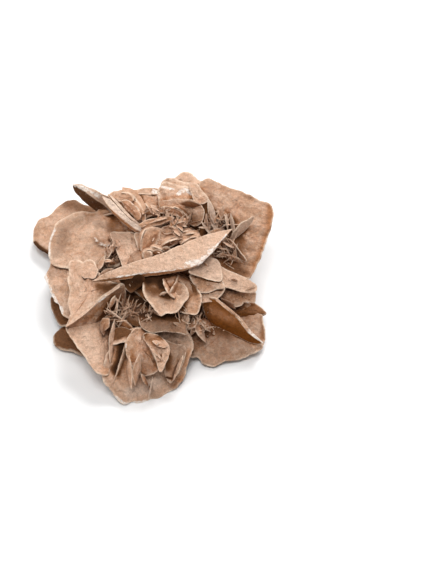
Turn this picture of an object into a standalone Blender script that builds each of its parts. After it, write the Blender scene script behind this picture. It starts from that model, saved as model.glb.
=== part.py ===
"""A gypsum sand rose: flat lens-shaped crystals of brown gypsum grown through one another in one mass.

The crystals are laid out on an oblique drawing sheet, as a specimen is sketched: the sheet faces an eye that looks
down on the rose from the front, and a point's place on it is (across, up) in millimetres. A height above the ground
then lifts the point into space. A plate is an outline on the sheet and three lifted points that its plane goes
through. A blade is a lens between two lifted tips. A nest is a hollow full of small blades, set out by a rule.
A crystal that would hang clear of the rest gets a root: a stub of crystal behind it, back to the mass.
Everything is fused into one solid, which rests on a flat at z = 0.
"""

import math
import random

import bmesh
import bpy
from mathutils import Matrix, Vector
from mathutils.bvhtree import BVHTree

MM = 0.001
SIGHT_RISE = math.radians(50)  # how steeply the eye looks down on the rose
EYE_ACROSS, EYE_UP, EYE_OUT = 50.0, 24.0, 1200.0  # the eye, from the middle of the rest, in sheet axes

ACROSS = Vector((1, 0, 0))
UP = Vector((0, math.sin(SIGHT_RISE), math.cos(SIGHT_RISE)))
OUT = Vector((0, -math.cos(SIGHT_RISE), math.sin(SIGHT_RISE)))
EYE = EYE_ACROSS * ACROSS + EYE_UP * UP + EYE_OUT * OUT

SPAN_STEP = 14.0  # a longer stretch of a plate's outline gets more points
LENS_UNDER = 2.5  # plates thinner than this are lenses, without flat faces
BEVEL = 1.1  # how far a plate's edge slopes in, in thicknesses
BLADE_SIDES = 2  # outline points along each side of a blade
NEEDLE_SIDES = 1
NARROW = 7.0  # a blade narrower than this has a needle's outline
BACK_POINTS = 10
LUMP_SWELL = 1.15  # a lump is twenty-sided, and this keeps it as big as a round one
ROOT_THICK = 6.0
ROOT_DEPTH = 5.0  # how far a root goes into the mass
ROOT_SHARE = 0.5  # its width, as a share of the crystal's
BEVEL_MOST = 0.4  # a plate's edge slopes in by no more than this share of the way to its middle
BACK_LOBES = ((3, 0.09), (5, 0.05))  # lobes round a free-standing plate, and how far each swells it
NEST_JITTER = 0.4  # how far a nest's blade strays along the spiral, in radians
NEST_SPREAD = 0.7  # how much further the outer blades of a nest lean out
NEST_TOSS = 0.45
NEST_REACH = (0.6, 1.15)  # a blade's length, in the nest's own
NEST_SUNK = 0.3  # the share of it below its foot
NEST_WIDTH = (0.28, 0.5)
NEST_THICK = 1.5
STONE_COLOUR = (0.47, 0.29, 0.19, 1)
STONE_ROUGHNESS = 0.75

# The mass that the crystals grow from: (middle, radii).
LUMPS = (
    ((0, 8, 20), (46, 42, 25)),
    ((14, 26, 38), (36, 32, 17)),
    ((14, 54, 42), (32, 28, 18)),
    ((16, -9, 43), (22, 16, 14)),
    ((8, 14, 47), (24, 16, 13)),
    ((-30, 20, 24), (26, 28, 13)),
    ((48, 20, 24), (26, 30, 13)),
    ((-2, -22, 20), (30, 26, 12)),
)

# Each plate: outline on the sheet, three lifted points of its face, thickness.
PLATES = {
    # the low tables behind and beneath the west side
    "west_low_table": (
        [(-87, 64), (-86, 70), (-82, 75), (-75, 77.5), (-70, 83), (-63, 88.5), (-56, 90), (-49, 86.5), (-40, 82),
         (-35, 66), (-50, 48), (-68, 44), (-76, 49), (-82, 52.5), (-86.5, 57.5)],
        ((-86, 66, 14), (-56, 90, 20), (-60, 50, 16)), 6),
    "west_hidden_table": (
        [(-73, 18), (-74, 12), (-72, 5), (-68, -3), (-64, -5), (-54, -2), (-48, 12), (-60, 24)],
        ((-73, 14, 17), (-66, -5, 13), (-52, 10, 22)), 4),
    "west_foot": (
        [(-68, -7.5), (-71.5, -12), (-71.5, -17.5), (-68, -21.5), (-59, -23.5), (-48, -26), (-42, -10), (-52, 0),
         (-62, -4)],
        ((-70, -12, 8), (-50, -20, 8), (-58, -4, 10)), 7),
    # the broad west table and the ragged one under its front
    "west_table": (
        [(-74, 42), (-75, 58), (-71.5, 65), (-70, 71.5), (-60, 78.5), (-52, 81), (-41, 80.5), (-34, 84.5),
         (-26, 80), (-15, 68), (-12, 52), (-25, 40), (-45, 36), (-62, 38)],
        ((-74, 50, 38), (-50, 81, 46), (-25, 50, 44)), 3.6),
    "west_ragged_table": (
        [(-74, 43), (-76, 37), (-79.5, 33), (-77, 28.5), (-75, 23.5), (-71.5, 15.5), (-67, 9), (-65, 4), (-60, 1.5),
         (-52, 10), (-50, 35), (-60, 46), (-70, 48)],
        ((-79, 32, 30), (-66, 8, 26), (-62, 44, 37)), 3.2),
    # the roof at the front west corner: two slopes that meet in a ridge, and the apron below them
    "roof_west_slope": (
        [(-59, 44), (-53, 44.7), (-50, 43.6), (-46, 45), (-41, 43.5), (-38, 36), (-30, 30), (-20, 27), (-30, 20),
         (-38, 15.5), (-50, 4), (-62, -5), (-59.5, 4), (-61, 12), (-60, 22), (-61, 32)],
        ((-60, 0, 39), (-60, 43, 44), (-35, 28, 51)), 3),
    "roof_front_slope": (
        [(-62.5, -5), (-50, 4), (-38, 15.5), (-30, 20.5), (-20, 27), (-18, 18), (-26, 6), (-34, 0), (-47, -4),
         (-57, -9.5)],
        ((-62, -5, 37), (-22, 25, 54), (-40, -3, 30)), 2.6),
    "roof_apron": (
        [(-62.5, -5), (-60, -11), (-51, -24), (-43, -35.5), (-38.5, -40.5), (-33.5, -42), (-30, -39.5), (-28, -33),
         (-27, -18), (-25, -3), (-32, 3), (-45, 0), (-56, -1)],
        ((-61, -8, 36), (-35, -41, 22), (-30, 0, 30)), 3),
    "apron_shelf": (
        [(-28, -18.7), (-21, -17.2), (-14, -15.8), (-12, -9), (-20, -5), (-27, -8)],
        ((-27, -18.5, 26), (-15, -16, 27), (-22, -6, 30)), 2),
    "apron_arch": (
        [(-32, 6), (-25, 3.5), (-19, 0.5), (-14, -3.5), (-11, -8), (-14, -10.5), (-20, -8.5), (-26, -2)],
        ((-32, 6, 40), (-11, -8, 33), (-21, -6, 32)), 2.4),
    # the front rosette
    "front_table": (
        [(-36, -41), (-33.5, -48), (-28.5, -54), (-23.5, -60.5), (-19, -63.6), (-13, -61.6), (-6.5, -63.2),
         (1, -59.7), (8, -58.5), (14.5, -54.3), (22.5, -48.5), (27.8, -41), (29, -31), (33, -20), (28, -8),
         (10, -4), (-8, -5), (-22, -12), (-32, -26)],
        ((-19, -62, 4), (27, -40, 8), (0, -6, 34)), 3.6),
    "front_face": (
        [(-14, -9), (-9, -5.5), (-3, -6), (0, -18), (6, -31), (6, -39), (-4, -42), (-14, -34), (-18, -20)],
        ((-10, -8, 39), (5, -38, 20), (-15, -28, 28)), 2.6),
    "front_leaf": (
        [(-5, -12), (0, -9.3), (6, -11), (12, -15.5), (15.3, -20), (14.3, -28), (11.5, -34.5), (8, -39),
         (5, -31), (0, -21)],
        ((-5, -12, 42), (8, -39, 27), (15, -20, 34)), 2),
    "front_east_leaf": (
        [(8, -14), (18, -17), (27, -20), (26.7, -30), (22.5, -39), (16.5, -47), (12.5, -43), (10, -30)],
        ((27, -20, 26), (16, -47, 14), (10, -20, 30)), 2.4),
    "front_shelf": (
        [(1.5, -9.7), (12, -9), (22, -9.6), (28.5, -10.3), (27, -2), (20, 5), (5, 6), (-8, 4), (-6, -5)],
        ((2, -9.5, 40), (28, -10, 38), (8, 5, 44)), 2.2),
    "shadow_wall": (
        [(-26, 8), (-18, 17), (-6, 16), (4, 9), (4, -2), (-6, -5), (-16, -2)],
        ((-20, 5, 37), (0, 10, 44), (-5, -4, 38)), 3),
    # the east table at the front and the great leaning blade on it
    "east_front_table": (
        [(29, -24), (31, -28), (35.5, -28.3), (41, -33), (47, -35), (53, -32.8), (60, -31), (69, -29), (78, -25.3),
         (84, -21.5), (87, -15), (87, -7), (85.5, -1), (83, 6), (70, 14), (50, 13), (36, 4), (28, -12)],
        ((46, -35, 4), (87, -14, 12), (55, 5, 22)), 3.6),
    "east_leaning_blade": (
        [(40, 15), (50.5, 15.5), (56, 10.5), (66, 2.4), (71, -4), (76, -10), (80.5, -13.5), (85.2, -17.6),
         (79, -18), (72, -15.5), (60, -9), (50, -4), (42, 3)],
        ((51, 15, 48), (85, -17.5, 17), (60, -9, 17)), 2.2),
    "east_shelf": (
        [(52, 40), (62, 36.3), (71, 32.6), (76, 29.5), (80.3, 25.8), (79.5, 21), (70, 21), (60, 23.5), (52, 26)],
        ((55, 25, 46), (80, 22, 41), (62, 36, 48)), 2.4),
    "east_under_shelf": (
        [(52, 25), (66, 25), (77, 22), (80, 20), (79.7, 15), (78, 12.6), (72, 13.2), (68.5, 10.5), (63, 9.6),
         (58, 11.8), (53, 17)],
        ((79, 14, 30), (62, 10, 31), (65, 22, 36)), 2.4),
    "east_lens": (
        [(62, 5), (69.5, 10.5), (75, 12.8), (80, 12), (85, 8.5), (88, 4.2), (82, 2), (74, 1.2), (66, 1.5)],
        ((67, 4, 22), (87, 4, 20.5), (76, 12, 24)), 6),
    # the petals that hang under the long blade
    "petal_front": (
        [(-1, 32), (-5, 23), (-3.8, 17.5), (0, 12), (6, 4.5), (9, 2.5), (13, 4), (17, 4), (22, 6.5), (26, 11.5),
         (29.8, 17.5), (26, 26), (14, 33)],
        ((8, 3, 50), (-4, 22, 55), (28, 17, 53)), 2.4),
    "petal_east_low": (
        [(20, 7), (28, 4.8), (35, 4), (37.5, 7), (39, 13.5), (38.5, 20), (33, 27), (25, 28), (20, 16)],
        ((35, 4, 44), (38, 20, 50), (24, 10, 46)), 2.4),
    "petal_east_top": (
        [(30, 38), (36, 41), (43, 46.5), (49.5, 46), (53, 42.5), (54.7, 35.5), (54, 29), (46, 29.6), (38, 31.6),
         (30, 34.3)],
        ((33, 36, 60), (54, 36, 56), (46, 46, 61)), 2.4),
    "petal_east_middle": (
        [(30, 34), (40, 33), (53, 32), (56.3, 24.5), (51, 22.8), (45, 20.7), (38, 20.6), (33, 26)],
        ((33, 28, 53), (55, 25, 50), (44, 20, 48)), 2.2),
    "petal_east_base": (
        [(36, 25), (46, 27), (56, 25), (55.5, 20), (51.5, 15.8), (46, 13.3), (39, 12.8), (37, 17)],
        ((39, 13, 44), (51, 16, 44), (45, 24, 47.5)), 2.4),
    "petal_west_outer": (
        [(-22, 32), (-18.5, 25), (-14, 20), (-10.5, 22), (-4, 28), (-6, 34)],
        ((-21, 31, 58), (-14, 20, 48), (-6, 31, 60)), 2),
    "petal_west_inner": (
        [(-15, 30), (-12.5, 24.5), (-7.5, 19), (-1.5, 13.5), (2, 20), (2, 32)],
        ((-8, 19.5, 48), (-2, 14, 47), (-6, 31, 58)), 2),
    # the long blade across the middle
    "long_blade": (
        [(-42.5, 28.8), (-34, 30), (-21, 31.4), (0, 33.6), (20, 36.3), (31, 38.6), (37, 39.8), (42, 43), (46.5, 49),
         (51, 56), (56, 62), (62.5, 68.3), (53, 67), (44, 64.5), (34, 61.5), (22, 56), (8, 50), (-6, 45.8),
         (-20, 41), (-33, 35.5)],
        ((-42, 29, 60), (62, 68, 72), (10, 35, 74)), 3.2),
    # the great table at the back of the east side, and the stack of lobes beside it
    "east_back_table": (
        [(36, 101), (40, 105.3), (45, 106), (51, 103.7), (59, 99.7), (67, 97.5), (76, 94), (84, 89.3), (89.5, 87.3),
         (92.3, 84), (93, 78), (91.2, 68), (88, 58), (85, 50), (81.2, 41), (77.5, 34), (72.5, 30.7), (58, 30),
         (44, 40), (34, 60), (32, 85)],
        ((45, 106, 71), (91, 80, 60), (74, 32, 41)), 5),
    "crown_lobe_back": (
        [(16, 103), (19.5, 108), (24, 110.8), (28, 111.5), (32, 110), (36, 106), (41, 103), (40, 94), (18, 92)],
        ((20, 108, 64), (36, 106, 66), (28, 95, 60)), 3),
    "crown_lobe_middle": (
        [(6.5, 97), (8.5, 103), (12.5, 106.3), (18, 106.5), (25, 104), (33, 103), (38, 99), (36, 88), (20, 86),
         (8, 90)],
        ((10, 104, 66), (34, 103, 69), (20, 90, 62)), 3),
    "crown_lobe_front": (
        [(6.3, 95), (7.5, 100.5), (12, 104), (18.5, 102.3), (24, 101), (28.5, 100), (33, 98.5), (35, 92), (32, 84),
         (15, 82), (7, 88)],
        ((10, 103, 71), (30, 95, 70), (15, 86, 64)), 2.6),
    "crown_strip": (
        [(30, 103), (36, 102.3), (40, 97), (45, 91), (41, 87), (35, 88), (31, 96)],
        ((36, 102, 75), (44, 91, 71), (33, 91, 70)), 2.4),
    "north_table": (
        [(-33, 90), (-28, 96), (-20, 97.8), (-8, 98.3), (0, 99.6), (6, 99), (11, 94), (15, 87), (10, 76),
         (-5, 72), (-18, 76), (-28, 83)],
        ((-27, 96, 58), (5, 99, 63), (0, 78, 55)), 4),
    "heart_back_plate": (
        [(7, 88.5), (14, 90.3), (24, 90.8), (34, 90), (39, 87), (41, 81), (39.5, 74), (35, 70.3), (30, 71.5),
         (22, 76), (11, 80)],
        ((10, 89, 67), (38, 87, 69), (34, 71, 61)), 2.4),
    # the steep blades at the north-west
    "steep_blade_west": (
        [(-35.7, 93.3), (-30, 91), (-22, 84.5), (-14, 76.5), (-5, 69), (-7, 66.5), (-16, 71.5), (-25, 79),
         (-32, 86.5)],
        ((-35, 93, 76), (-7, 68, 61), (-25, 79, 74)), 3.6),
    "steep_blade_east": (
        [(-32.3, 95.3), (-27, 94.5), (-19, 88.5), (-12, 80.5), (-7, 74), (-9, 71.5), (-17, 78.5), (-25, 87)],
        ((-32, 95, 72), (-9, 74, 60), (-20, 89, 62)), 3),
    "shell_ridge_top": (
        [(-27, 93), (-22, 96.3), (-16, 96), (-12, 93.3), (-11.3, 89.5), (-15, 87.5), (-21, 88)],
        ((-25, 94, 64), (-12, 92, 66), (-16, 88, 63)), 2),
    "shell_ridge_middle": (
        [(-21, 89.5), (-16, 90), (-11.5, 87), (-7.5, 82), (-6.5, 77), (-9, 74.5), (-13, 78.5), (-18, 84)],
        ((-20, 88, 66), (-8, 82, 68), (-10, 76, 64)), 2),
    "shell_ridge_low": (
        [(-14, 90), (-9, 88.5), (-5, 84), (-2.5, 78.5), (-4, 74), (-8, 76), (-11, 83)],
        ((-13, 89, 63), (-3, 79, 63), (-8, 77, 61)), 2),
    # the heart: petals packed behind the long blade
    "heart_hood": (
        [(-6, 50), (-6.7, 60), (-4.6, 66), (-1, 69.5), (4, 70.3), (9, 68), (7, 60), (3, 53)],
        ((-5, 52, 57), (-2, 69, 69), (7, 62, 63)), 2.4),
    "heart_west_petal": (
        [(-11.3, 65), (-10.7, 60), (-8.3, 53), (-6.5, 49), (-4, 55), (-4, 63), (-8, 66.3)],
        ((-11, 64, 60), (-7, 51, 53), (-5, 63, 59)), 1.8),
    "heart_cover": (
        [(-8, 71.5), (-2, 75), (6, 76.6), (15, 78.2), (19, 76), (13, 72.8), (4, 70), (-3, 69)],
        ((-7, 72, 69), (17, 77, 72), (4, 70.5, 68)), 2.2),
    "heart_pink_petal": (
        [(3, 55), (5.5, 62.5), (8.5, 67.7), (13.5, 70.6), (19, 70), (23, 67), (26, 62), (20, 57), (10, 53)],
        ((5, 60, 62), (14, 70, 69), (22, 62, 63)), 2),
    "heart_east_petal": (
        [(20, 61), (24, 65.5), (29, 67), (35, 65.5), (39, 62), (34, 58.5), (27, 56.5)],
        ((22, 62, 63), (36, 64, 66), (28, 57, 62)), 2),
    "heart_arch": (
        [(5.5, 81.5), (11, 84.5), (18, 84.8), (24, 82), (30, 76), (25, 75.5), (19, 79), (11, 80.5)],
        ((6, 82, 68), (19, 84, 72), (29, 76, 66)), 1.8),
    "heart_slip": (
        [(16, 72), (22, 74.3), (28.5, 74), (28, 71), (21, 69.8)],
        ((17, 72, 69), (28, 74, 70), (22, 70, 67)), 1.8),
    "heart_knob": (
        [(-4.5, 50), (-3, 52.6), (0.5, 52), (2.5, 49), (1, 46), (-3, 45.5)],
        ((-4, 50, 62), (2, 49, 63), (-2, 46, 60)), 3),
    # leaves in the west nest and the east nest
    "west_nest_wall": (
        [(-29.3, 65.2), (-20, 66), (-11, 65), (-7, 56), (-6, 45), (-13, 41), (-20, 40.5), (-25, 53)],
        ((-29, 65, 57), (-20, 42, 50), (-9, 55, 54)), 2),
    "west_nest_lens": (
        [(-34.5, 44), (-31, 45.8), (-27.5, 44), (-25.5, 40.5), (-31, 39.5)],
        ((-34, 44, 49), (-26, 41, 50), (-30, 45, 51)), 2),
    "west_slip": (
        [(-50.5, 33.7), (-49, 39), (-44, 41.5), (-39, 38), (-39, 31.8), (-45, 30.5)],
        ((-50, 34, 47.2), (-44, 41, 50.6), (-40, 32, 50.6)), 1.6),
    "east_nest_lens": (
        [(47, 80.8), (53, 81), (57.7, 77.5), (55, 74.3), (49, 75)],
        ((48, 80, 66), (57, 77, 65), (52, 75, 62)), 2),
    "east_nest_wing": (
        [(60, 60), (63.5, 67), (68, 72.3), (73, 74.8), (78.7, 77.7), (75.5, 71), (70.5, 66), (65, 61.3)],
        ((61, 60.5, 58), (78, 77, 72), (68, 72, 72)), 1.8),
    "east_nest_wall": (
        [(58, 61), (63, 58.5), (68, 52), (73.3, 44.3), (68, 45), (61, 48), (56, 54)],
        ((60, 60, 61), (73, 45, 53), (62, 50, 50)), 1.8),
    "east_nest_slip": (
        [(48, 54), (51, 56.7), (56.7, 51), (54.5, 47.8), (49, 47.5)],
        ((50, 55, 58), (56, 51, 56), (50, 48.5, 51)), 1.8),
}

# Each blade: its two lifted tips, width, how far its face turns from the eye (to the right, if the second tip is up
# the sheet), thickness.
BLADES = (
    # the horn at the north-west
    ((-22, 80, 50), (-58.5, 102.3, 70), 22, -58, 14),
    # on the front rosette
    ((-28.3, -50, 17), (-9, -6, 42), 20, 62, 3),
    ((-14, -51.5, 17), (-14.8, -25, 36), 9, -52, 2.4),
    ((-11.5, -49.5, 18), (-8, -25.5, 36), 9, 40, 2.4),
    ((-0.6, -60, 8), (2.6, -42, 22), 9, 78, 1.4),
    ((-0.5, -50, 13), (-6.5, -40.5, 24), 6, 62, 1.4),
    ((15, -19, 34), (2, -16, 40), 7, 50, 1.4),
    ((9, -27.5, 30), (1, -21.5, 38), 5, 50, 1.4),
    ((17, -46.5, 14), (25.5, -26, 28), 8, -70, 1.4),
    # on the apron
    ((-30.3, -31.5, 27), (-26, 0.5, 40), 13, 68, 2.2),
    ((-36.5, -8, 31), (-30, 1.5, 41), 9, -35, 1.8),
    ((-34, -12, 29), (-33, -1, 38), 7, 60, 1.5),
    # in the nest behind the apron
    ((-29.5, 9, 40), (-25.5, 19, 50), 7, 20, 1.6),
    ((-24, 5.5, 41), (-23, 17, 51), 5, -60, 1.5),
    ((-31, 4, 38), (-21, 6, 42), 5, -50, 1.5),
    ((-33, 10, 42), (-22, 2, 44), 4, 60, 1.4),
    # in the nest on the east table
    ((43, -18.3, 16), (31.5, 0.5, 33), 15, 50, 2),
    ((27.5, -7.5, 28), (36, 4, 36), 9, -40, 1.8),
    ((31, -12, 20), (38, 3, 34), 8, 55, 1.6),
    ((24, -3, 34), (29, 6, 42), 7, -20, 1.6),
    ((39, -7, 24), (36.5, 2, 34), 5, 40, 1.4),
    ((46, -9, 20), (38, 0, 30), 5, 50, 1.4),
    # under the long blade
    ((18.3, 15.3, 54), (9.3, 31.8, 66), 13, 58, 1.6),
    ((16, 18, 56), (22, 34.5, 68), 12, -60, 1.6),
    ((23, 33, 64), (31, 36, 66), 9, 30, 1.6),
    ((7.5, 17.5, 54), (13.5, 20.5, 58), 4, 60, 1.4),
    ((40.3, 43.5, 61), (45, 40, 59), 4, 60, 1.2),
    ((61, 30.5, 47), (67, 29.5, 47), 4, 60, 1.2),
    # at the east edge
    ((53.5, 16.5, 42), (64.5, 8, 30), 8, 60, 1.6),
    ((71, 21.5, 41), (80.6, 25.2, 41), 5, 60, 1.2),
    # on the great table and in the east nest
    ((22, 87.3, 71), (39.5, 86, 73), 9, 62, 1.8),
    ((50.5, 76, 61), (43.3, 92.3, 77), 8, -28, 1.8),
    ((65.5, 62, 56), (60.3, 81.5, 74), 7, -48, 1.6),
    ((44.5, 65.5, 61), (42, 78, 72), 6, -50, 1.4),
    ((50.5, 65.5, 61), (44.5, 76.5, 72), 6, 40, 1.4),
    ((50.5, 67, 61), (46.3, 80, 73), 7, -35, 1.6),
    ((46.5, 64, 62), (39.3, 73.5, 70), 6, 45, 1.4),
    ((58.5, 69, 59), (57.5, 79.5, 69), 5, 60, 1.4),
    ((70.5, 41.5, 42), (56, 49.5, 54), 8, -50, 1.6),
    ((63, 43, 46), (57, 39.5, 48), 5, 40, 1.4),
    ((55, 62, 54), (57.5, 55, 54), 6, 60, 1.4),
    # in the heart
    ((8.5, 54.5, 60), (25.5, 61.5, 63), 10, 55, 1.8),
    ((1, 50.3, 61), (11, 50.5, 62), 6, 40, 1.8),
    ((0.5, 54.5, 62), (9, 52.5, 62), 5, -30, 1.8),
    ((9, 53.5, 62), (16, 53.5, 62), 4, 40, 1.6),
    ((7.5, 81.5, 66), (0.5, 86.5, 72), 4, 50, 1.4),
    ((-3.5, 81, 62), (2, 84, 67), 5, 30, 1.4),
    ((-4, 80, 62), (6, 79.5, 67), 6, 40, 1.5),
    # in the west nest
    ((-33.5, 45, 46), (-26, 57.5, 57), 6, -50, 1.4),
    ((-39.3, 36.5, 48), (-33.3, 48.5, 56), 6, -55, 1.4),
    ((-37.5, 34, 51), (-26.5, 38.5, 54), 5, 40, 1.4),
)

# Each nest: middle (lifted), radius on the sheet (across, up), rows of blades, blade length, which way they lean
# (across, up, out), seed.
NESTS = (
    ((21, 70, 64), (9, 5.5), 8, 9, (0.0, 0.3, 1.0), 11),
    ((22, 77, 66), (8, 3.5), 5, 8, (0.2, 0.4, 1.0), 12),
    ((60, 51, 48), (5, 7), 6, 8, (-0.3, 0.2, 1.0), 13),
    ((-26, 50, 46), (3.5, 7), 4, 8, (-0.2, 0.2, 1.0), 14),
    ((-19, 7, 40), (9, 6), 8, 9, (0.1, 0.3, 1.0), 15),
    ((-2, 3, 42), (7, 5), 4, 8, (0.0, 0.5, 1.0), 16),
    ((49, -6, 24), (7, 5), 6, 7, (0.1, 0.4, 1.0), 17),
    ((33, 1, 34), (7, 5), 4, 8, (0.0, 0.3, 1.0), 18),
    ((8, -21, 32), (4, 6), 3, 6, (0.3, 0.3, 1.0), 19),
    ((51, 71, 58), (9, 4), 5, 8, (0.0, 0.4, 1.0), 20),
)

# Plates on the sides that the sheet doesn't show: (middle, facing azimuth, tilt from level, spin, length, width,
# thickness), in the rose's own axes.
BACK_PLATES = (
    ((20, 80, 36), 90, 62, 0, 62, 42, 4),
    ((-20, 78, 32), 105, 55, 20, 56, 38, 4),
    ((56, 70, 32), 60, 50, -25, 58, 42, 4),
    ((2, 84, 22), 80, 25, 10, 54, 28, 4),
    ((42, 80, 18), 70, 30, -10, 48, 28, 4),
    ((56, 50, 24), 10, 45, 80, 46, 26, 4),
    ((62, 22, 20), 345, 35, 70, 40, 26, 4),
    ((-58, 46, 22), 190, 40, 80, 40, 26, 4),
    ((-40, 74, 22), 130, 42, 40, 46, 30, 4),
    ((30, 76, 56), 95, 75, 5, 50, 24, 3),
    ((-4, 78, 48), 85, 70, -15, 44, 26, 3),
    ((54, 58, 12), 40, 15, 30, 52, 40, 5),
    ((10, 70, 8), 90, 10, 0, 66, 44, 6),
    ((-46, 46, 8), 160, 12, 60, 56, 40, 6),
    ((-34, -6, 8), 230, 14, -30, 50, 36, 6),
    ((24, -24, 8), 300, 12, 20, 48, 30, 6),
    ((-10, -50, 6), 260, 10, 0, 44, 30, 5),
)
FLAT_ENOUGH = math.radians(0.5)  # faces this near to one plane are merged
GROUND = 400.0  # the block that trims the underside flat


def on_sheet(across, up):
    return across * ACROSS + up * UP


def lift(across, up, height):
    """The point at that height that the eye sees at (across, up)."""
    ray = on_sheet(across, up) - EYE
    return EYE + ray * ((height - EYE.z) / ray.z)


def plane_through(points):
    """A point and the normal that faces the eye."""
    first, second, third = (lift(*p) for p in points)
    normal = (second - first).cross(third - first).normalized()
    return first, normal if normal.dot(EYE - first) > 0 else -normal


def smooth_outline(corners):
    """Points along a closed curve through the corners."""
    points = []
    count = len(corners)
    for i in range(count):
        before, start, end, after = (Vector(corners[(i + k) % count]) for k in (-1, 0, 1, 2))
        pieces = max(1, round((end - start).length / SPAN_STEP))
        for step in range(pieces):
            t = step / pieces
            points.append(
                0.5 * (2 * start + (end - before) * t + (2 * before - 5 * start + 4 * end - after) * t * t
                       + (3 * start - before - 3 * end + after) * t ** 3)
            )
    return points


class Mass:
    """Everything laid down so far, as one soup of faces that a new crystal can be tried against."""

    def __init__(self):
        self.vertices = []
        self.faces = []

    def tree(self):
        return BVHTree.FromPolygons(self.vertices, self.faces)

    def take(self, vertices, faces):
        first = len(self.vertices)
        self.vertices += vertices
        self.faces += [[first + i for i in face] for face in faces]


def add_solid(name, vertices, faces):
    """A closed helper mesh, with its faces turned outwards."""
    mesh = bpy.data.meshes.new(name)
    shape = bmesh.new()
    made = [shape.verts.new(v * MM) for v in vertices]
    for face in faces:
        shape.faces.new([made[i] for i in face])
    bmesh.ops.recalc_face_normals(shape, faces=shape.faces)
    shape.to_mesh(mesh)
    shape.free()
    helper = bpy.data.objects.new(name, mesh)
    helper.hide_render = True
    helper.display_type = "WIRE"
    CRYSTALS.objects.link(helper)
    return helper


def add_crystal(name, vertices, faces):
    """A crystal, and a root behind it if nothing holds it yet."""
    held = MASS.tree()
    if not held.overlap(BVHTree.FromPolygons(vertices, faces)):
        add_root(name, vertices, held)
    add_solid(name, vertices, faces)
    MASS.take(vertices, faces)


def add_root(name, vertices, held):
    """A wedge behind the crystal, straight away from the eye or else to the nearest of the mass.

    Its sharp edge lies in the crystal, and its butt is in the mass.
    """
    middle = sum(vertices, Vector()) / len(vertices)
    away = (middle - EYE).normalized()
    end = held.ray_cast(middle, away)[0] or held.find_nearest(middle)[0]
    reach = end - middle
    longest = max((v - middle for v in vertices), key=lambda v: v.length)
    side = longest - reach.normalized() * longest.dot(reach.normalized())
    half = side * ROOT_SHARE
    end = end + reach.normalized() * ROOT_DEPTH
    butt = reach.cross(half).normalized() * ROOT_THICK / 2
    vertices = [middle + half, middle - half, end + butt, end - butt]
    faces = [[0, 1, 2], [1, 0, 3], [2, 3, 0], [3, 2, 1]]
    add_solid(f"{name}_root", vertices, faces)
    MASS.take(vertices, faces)


def lens_on(rim, normal, thick):
    """A crystal that thins evenly from its middle to a sharp rim."""
    count = len(rim)
    middle = sum(rim, Vector()) / count
    vertices = list(rim) + [middle + normal * thick / 2, middle - normal * thick / 2]
    faces = []
    for i in range(count):
        j = (i + 1) % count
        faces.append([i, j, count])
        faces.append([j, i, count + 1])
    return vertices, faces


def plate_on(rim, normal, thick):
    """A flat crystal: a sharp rim all round, sloping in to two flat faces."""
    count = len(rim)
    middle = sum(rim, Vector()) / count
    half = normal * thick / 2
    inner = []
    for p in rim:
        inward = middle - p
        inner.append(p + inward.normalized() * min(BEVEL * thick, BEVEL_MOST * inward.length))
    vertices = list(rim) + [p + half for p in inner] + [p - half for p in inner]
    faces = [list(range(count, 2 * count)), list(range(3 * count - 1, 2 * count - 1, -1))]
    for i in range(count):
        j = (i + 1) % count
        faces.append((i, j, count + j, count + i))
        faces.append((j, i, 2 * count + i, 2 * count + j))
    return vertices, faces


def add_plate(name, corners, through, thick):
    point, normal = plane_through(through)
    point = point - normal * thick / 2
    rim = []
    for corner in smooth_outline(corners):
        ray = on_sheet(*corner) - EYE
        rim.append(EYE + ray * ((point - EYE).dot(normal) / ray.dot(normal)))
    make = lens_on if thick < LENS_UNDER else plate_on
    add_crystal(name, *make(rim, normal, thick))


def blade_between(first, second, side, normal, width, thick, sides):
    """A pointed lens from tip to tip, with a low ridge along both faces."""
    rim = [first]
    for sign, order in ((1, range(1, sides + 1)), (-1, range(sides, 0, -1))):
        if sign < 0:
            rim.append(second)
        for k in order:
            t = k / (sides + 1)
            bulge = 4 * t * (1 - t) * width / 2
            rim.append(first.lerp(second, t) + side * sign * bulge)
    return lens_on(rim, normal, thick)


def add_blade(name, start, end, width, roll, thick):
    first, second = lift(*start), lift(*end)
    along = (second - first).normalized()
    to_eye = EYE - first
    facing = (to_eye - along * to_eye.dot(along)).normalized()
    normal = facing * math.cos(math.radians(roll)) + along.cross(facing) * math.sin(math.radians(roll))
    sides = NEEDLE_SIDES if width < NARROW else BLADE_SIDES
    add_crystal(name, *blade_between(first, second, along.cross(normal), normal, width, thick, sides))


def add_nest(name, middle, radii, count, length, lean, seed):
    """Small blades on a spiral, standing on whatever the eye sees there, each leaning and turned its own way."""
    rng = random.Random(seed)
    golden = math.pi * (3 - math.sqrt(5))
    held = MASS.tree()
    for k in range(count):
        far = math.sqrt((k + 0.5) / count)
        turn = k * golden + rng.uniform(-NEST_JITTER, NEST_JITTER)
        across, up = far * math.cos(turn), far * math.sin(turn)
        sight = on_sheet(middle[0] + across * radii[0], middle[1] + up * radii[1]) - EYE
        foot = held.ray_cast(EYE, sight)[0]
        aim = on_sheet(lean[0] + NEST_SPREAD * across, lean[1] + NEST_SPREAD * up) + OUT * lean[2]
        aim = (aim + Vector([rng.uniform(-NEST_TOSS, NEST_TOSS) for _ in range(3)])).normalized()
        reach = length * rng.uniform(*NEST_REACH)
        side = aim.cross(Vector([rng.uniform(-1, 1) for _ in range(3)])).normalized()
        root = foot - aim * NEST_SUNK * reach
        width = reach * rng.uniform(*NEST_WIDTH)
        vertices, faces = blade_between(
            root, root + aim * reach, side, aim.cross(side), width, NEST_THICK, NEEDLE_SIDES)
        add_solid(f"{name}_{k}", vertices, faces)


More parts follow.
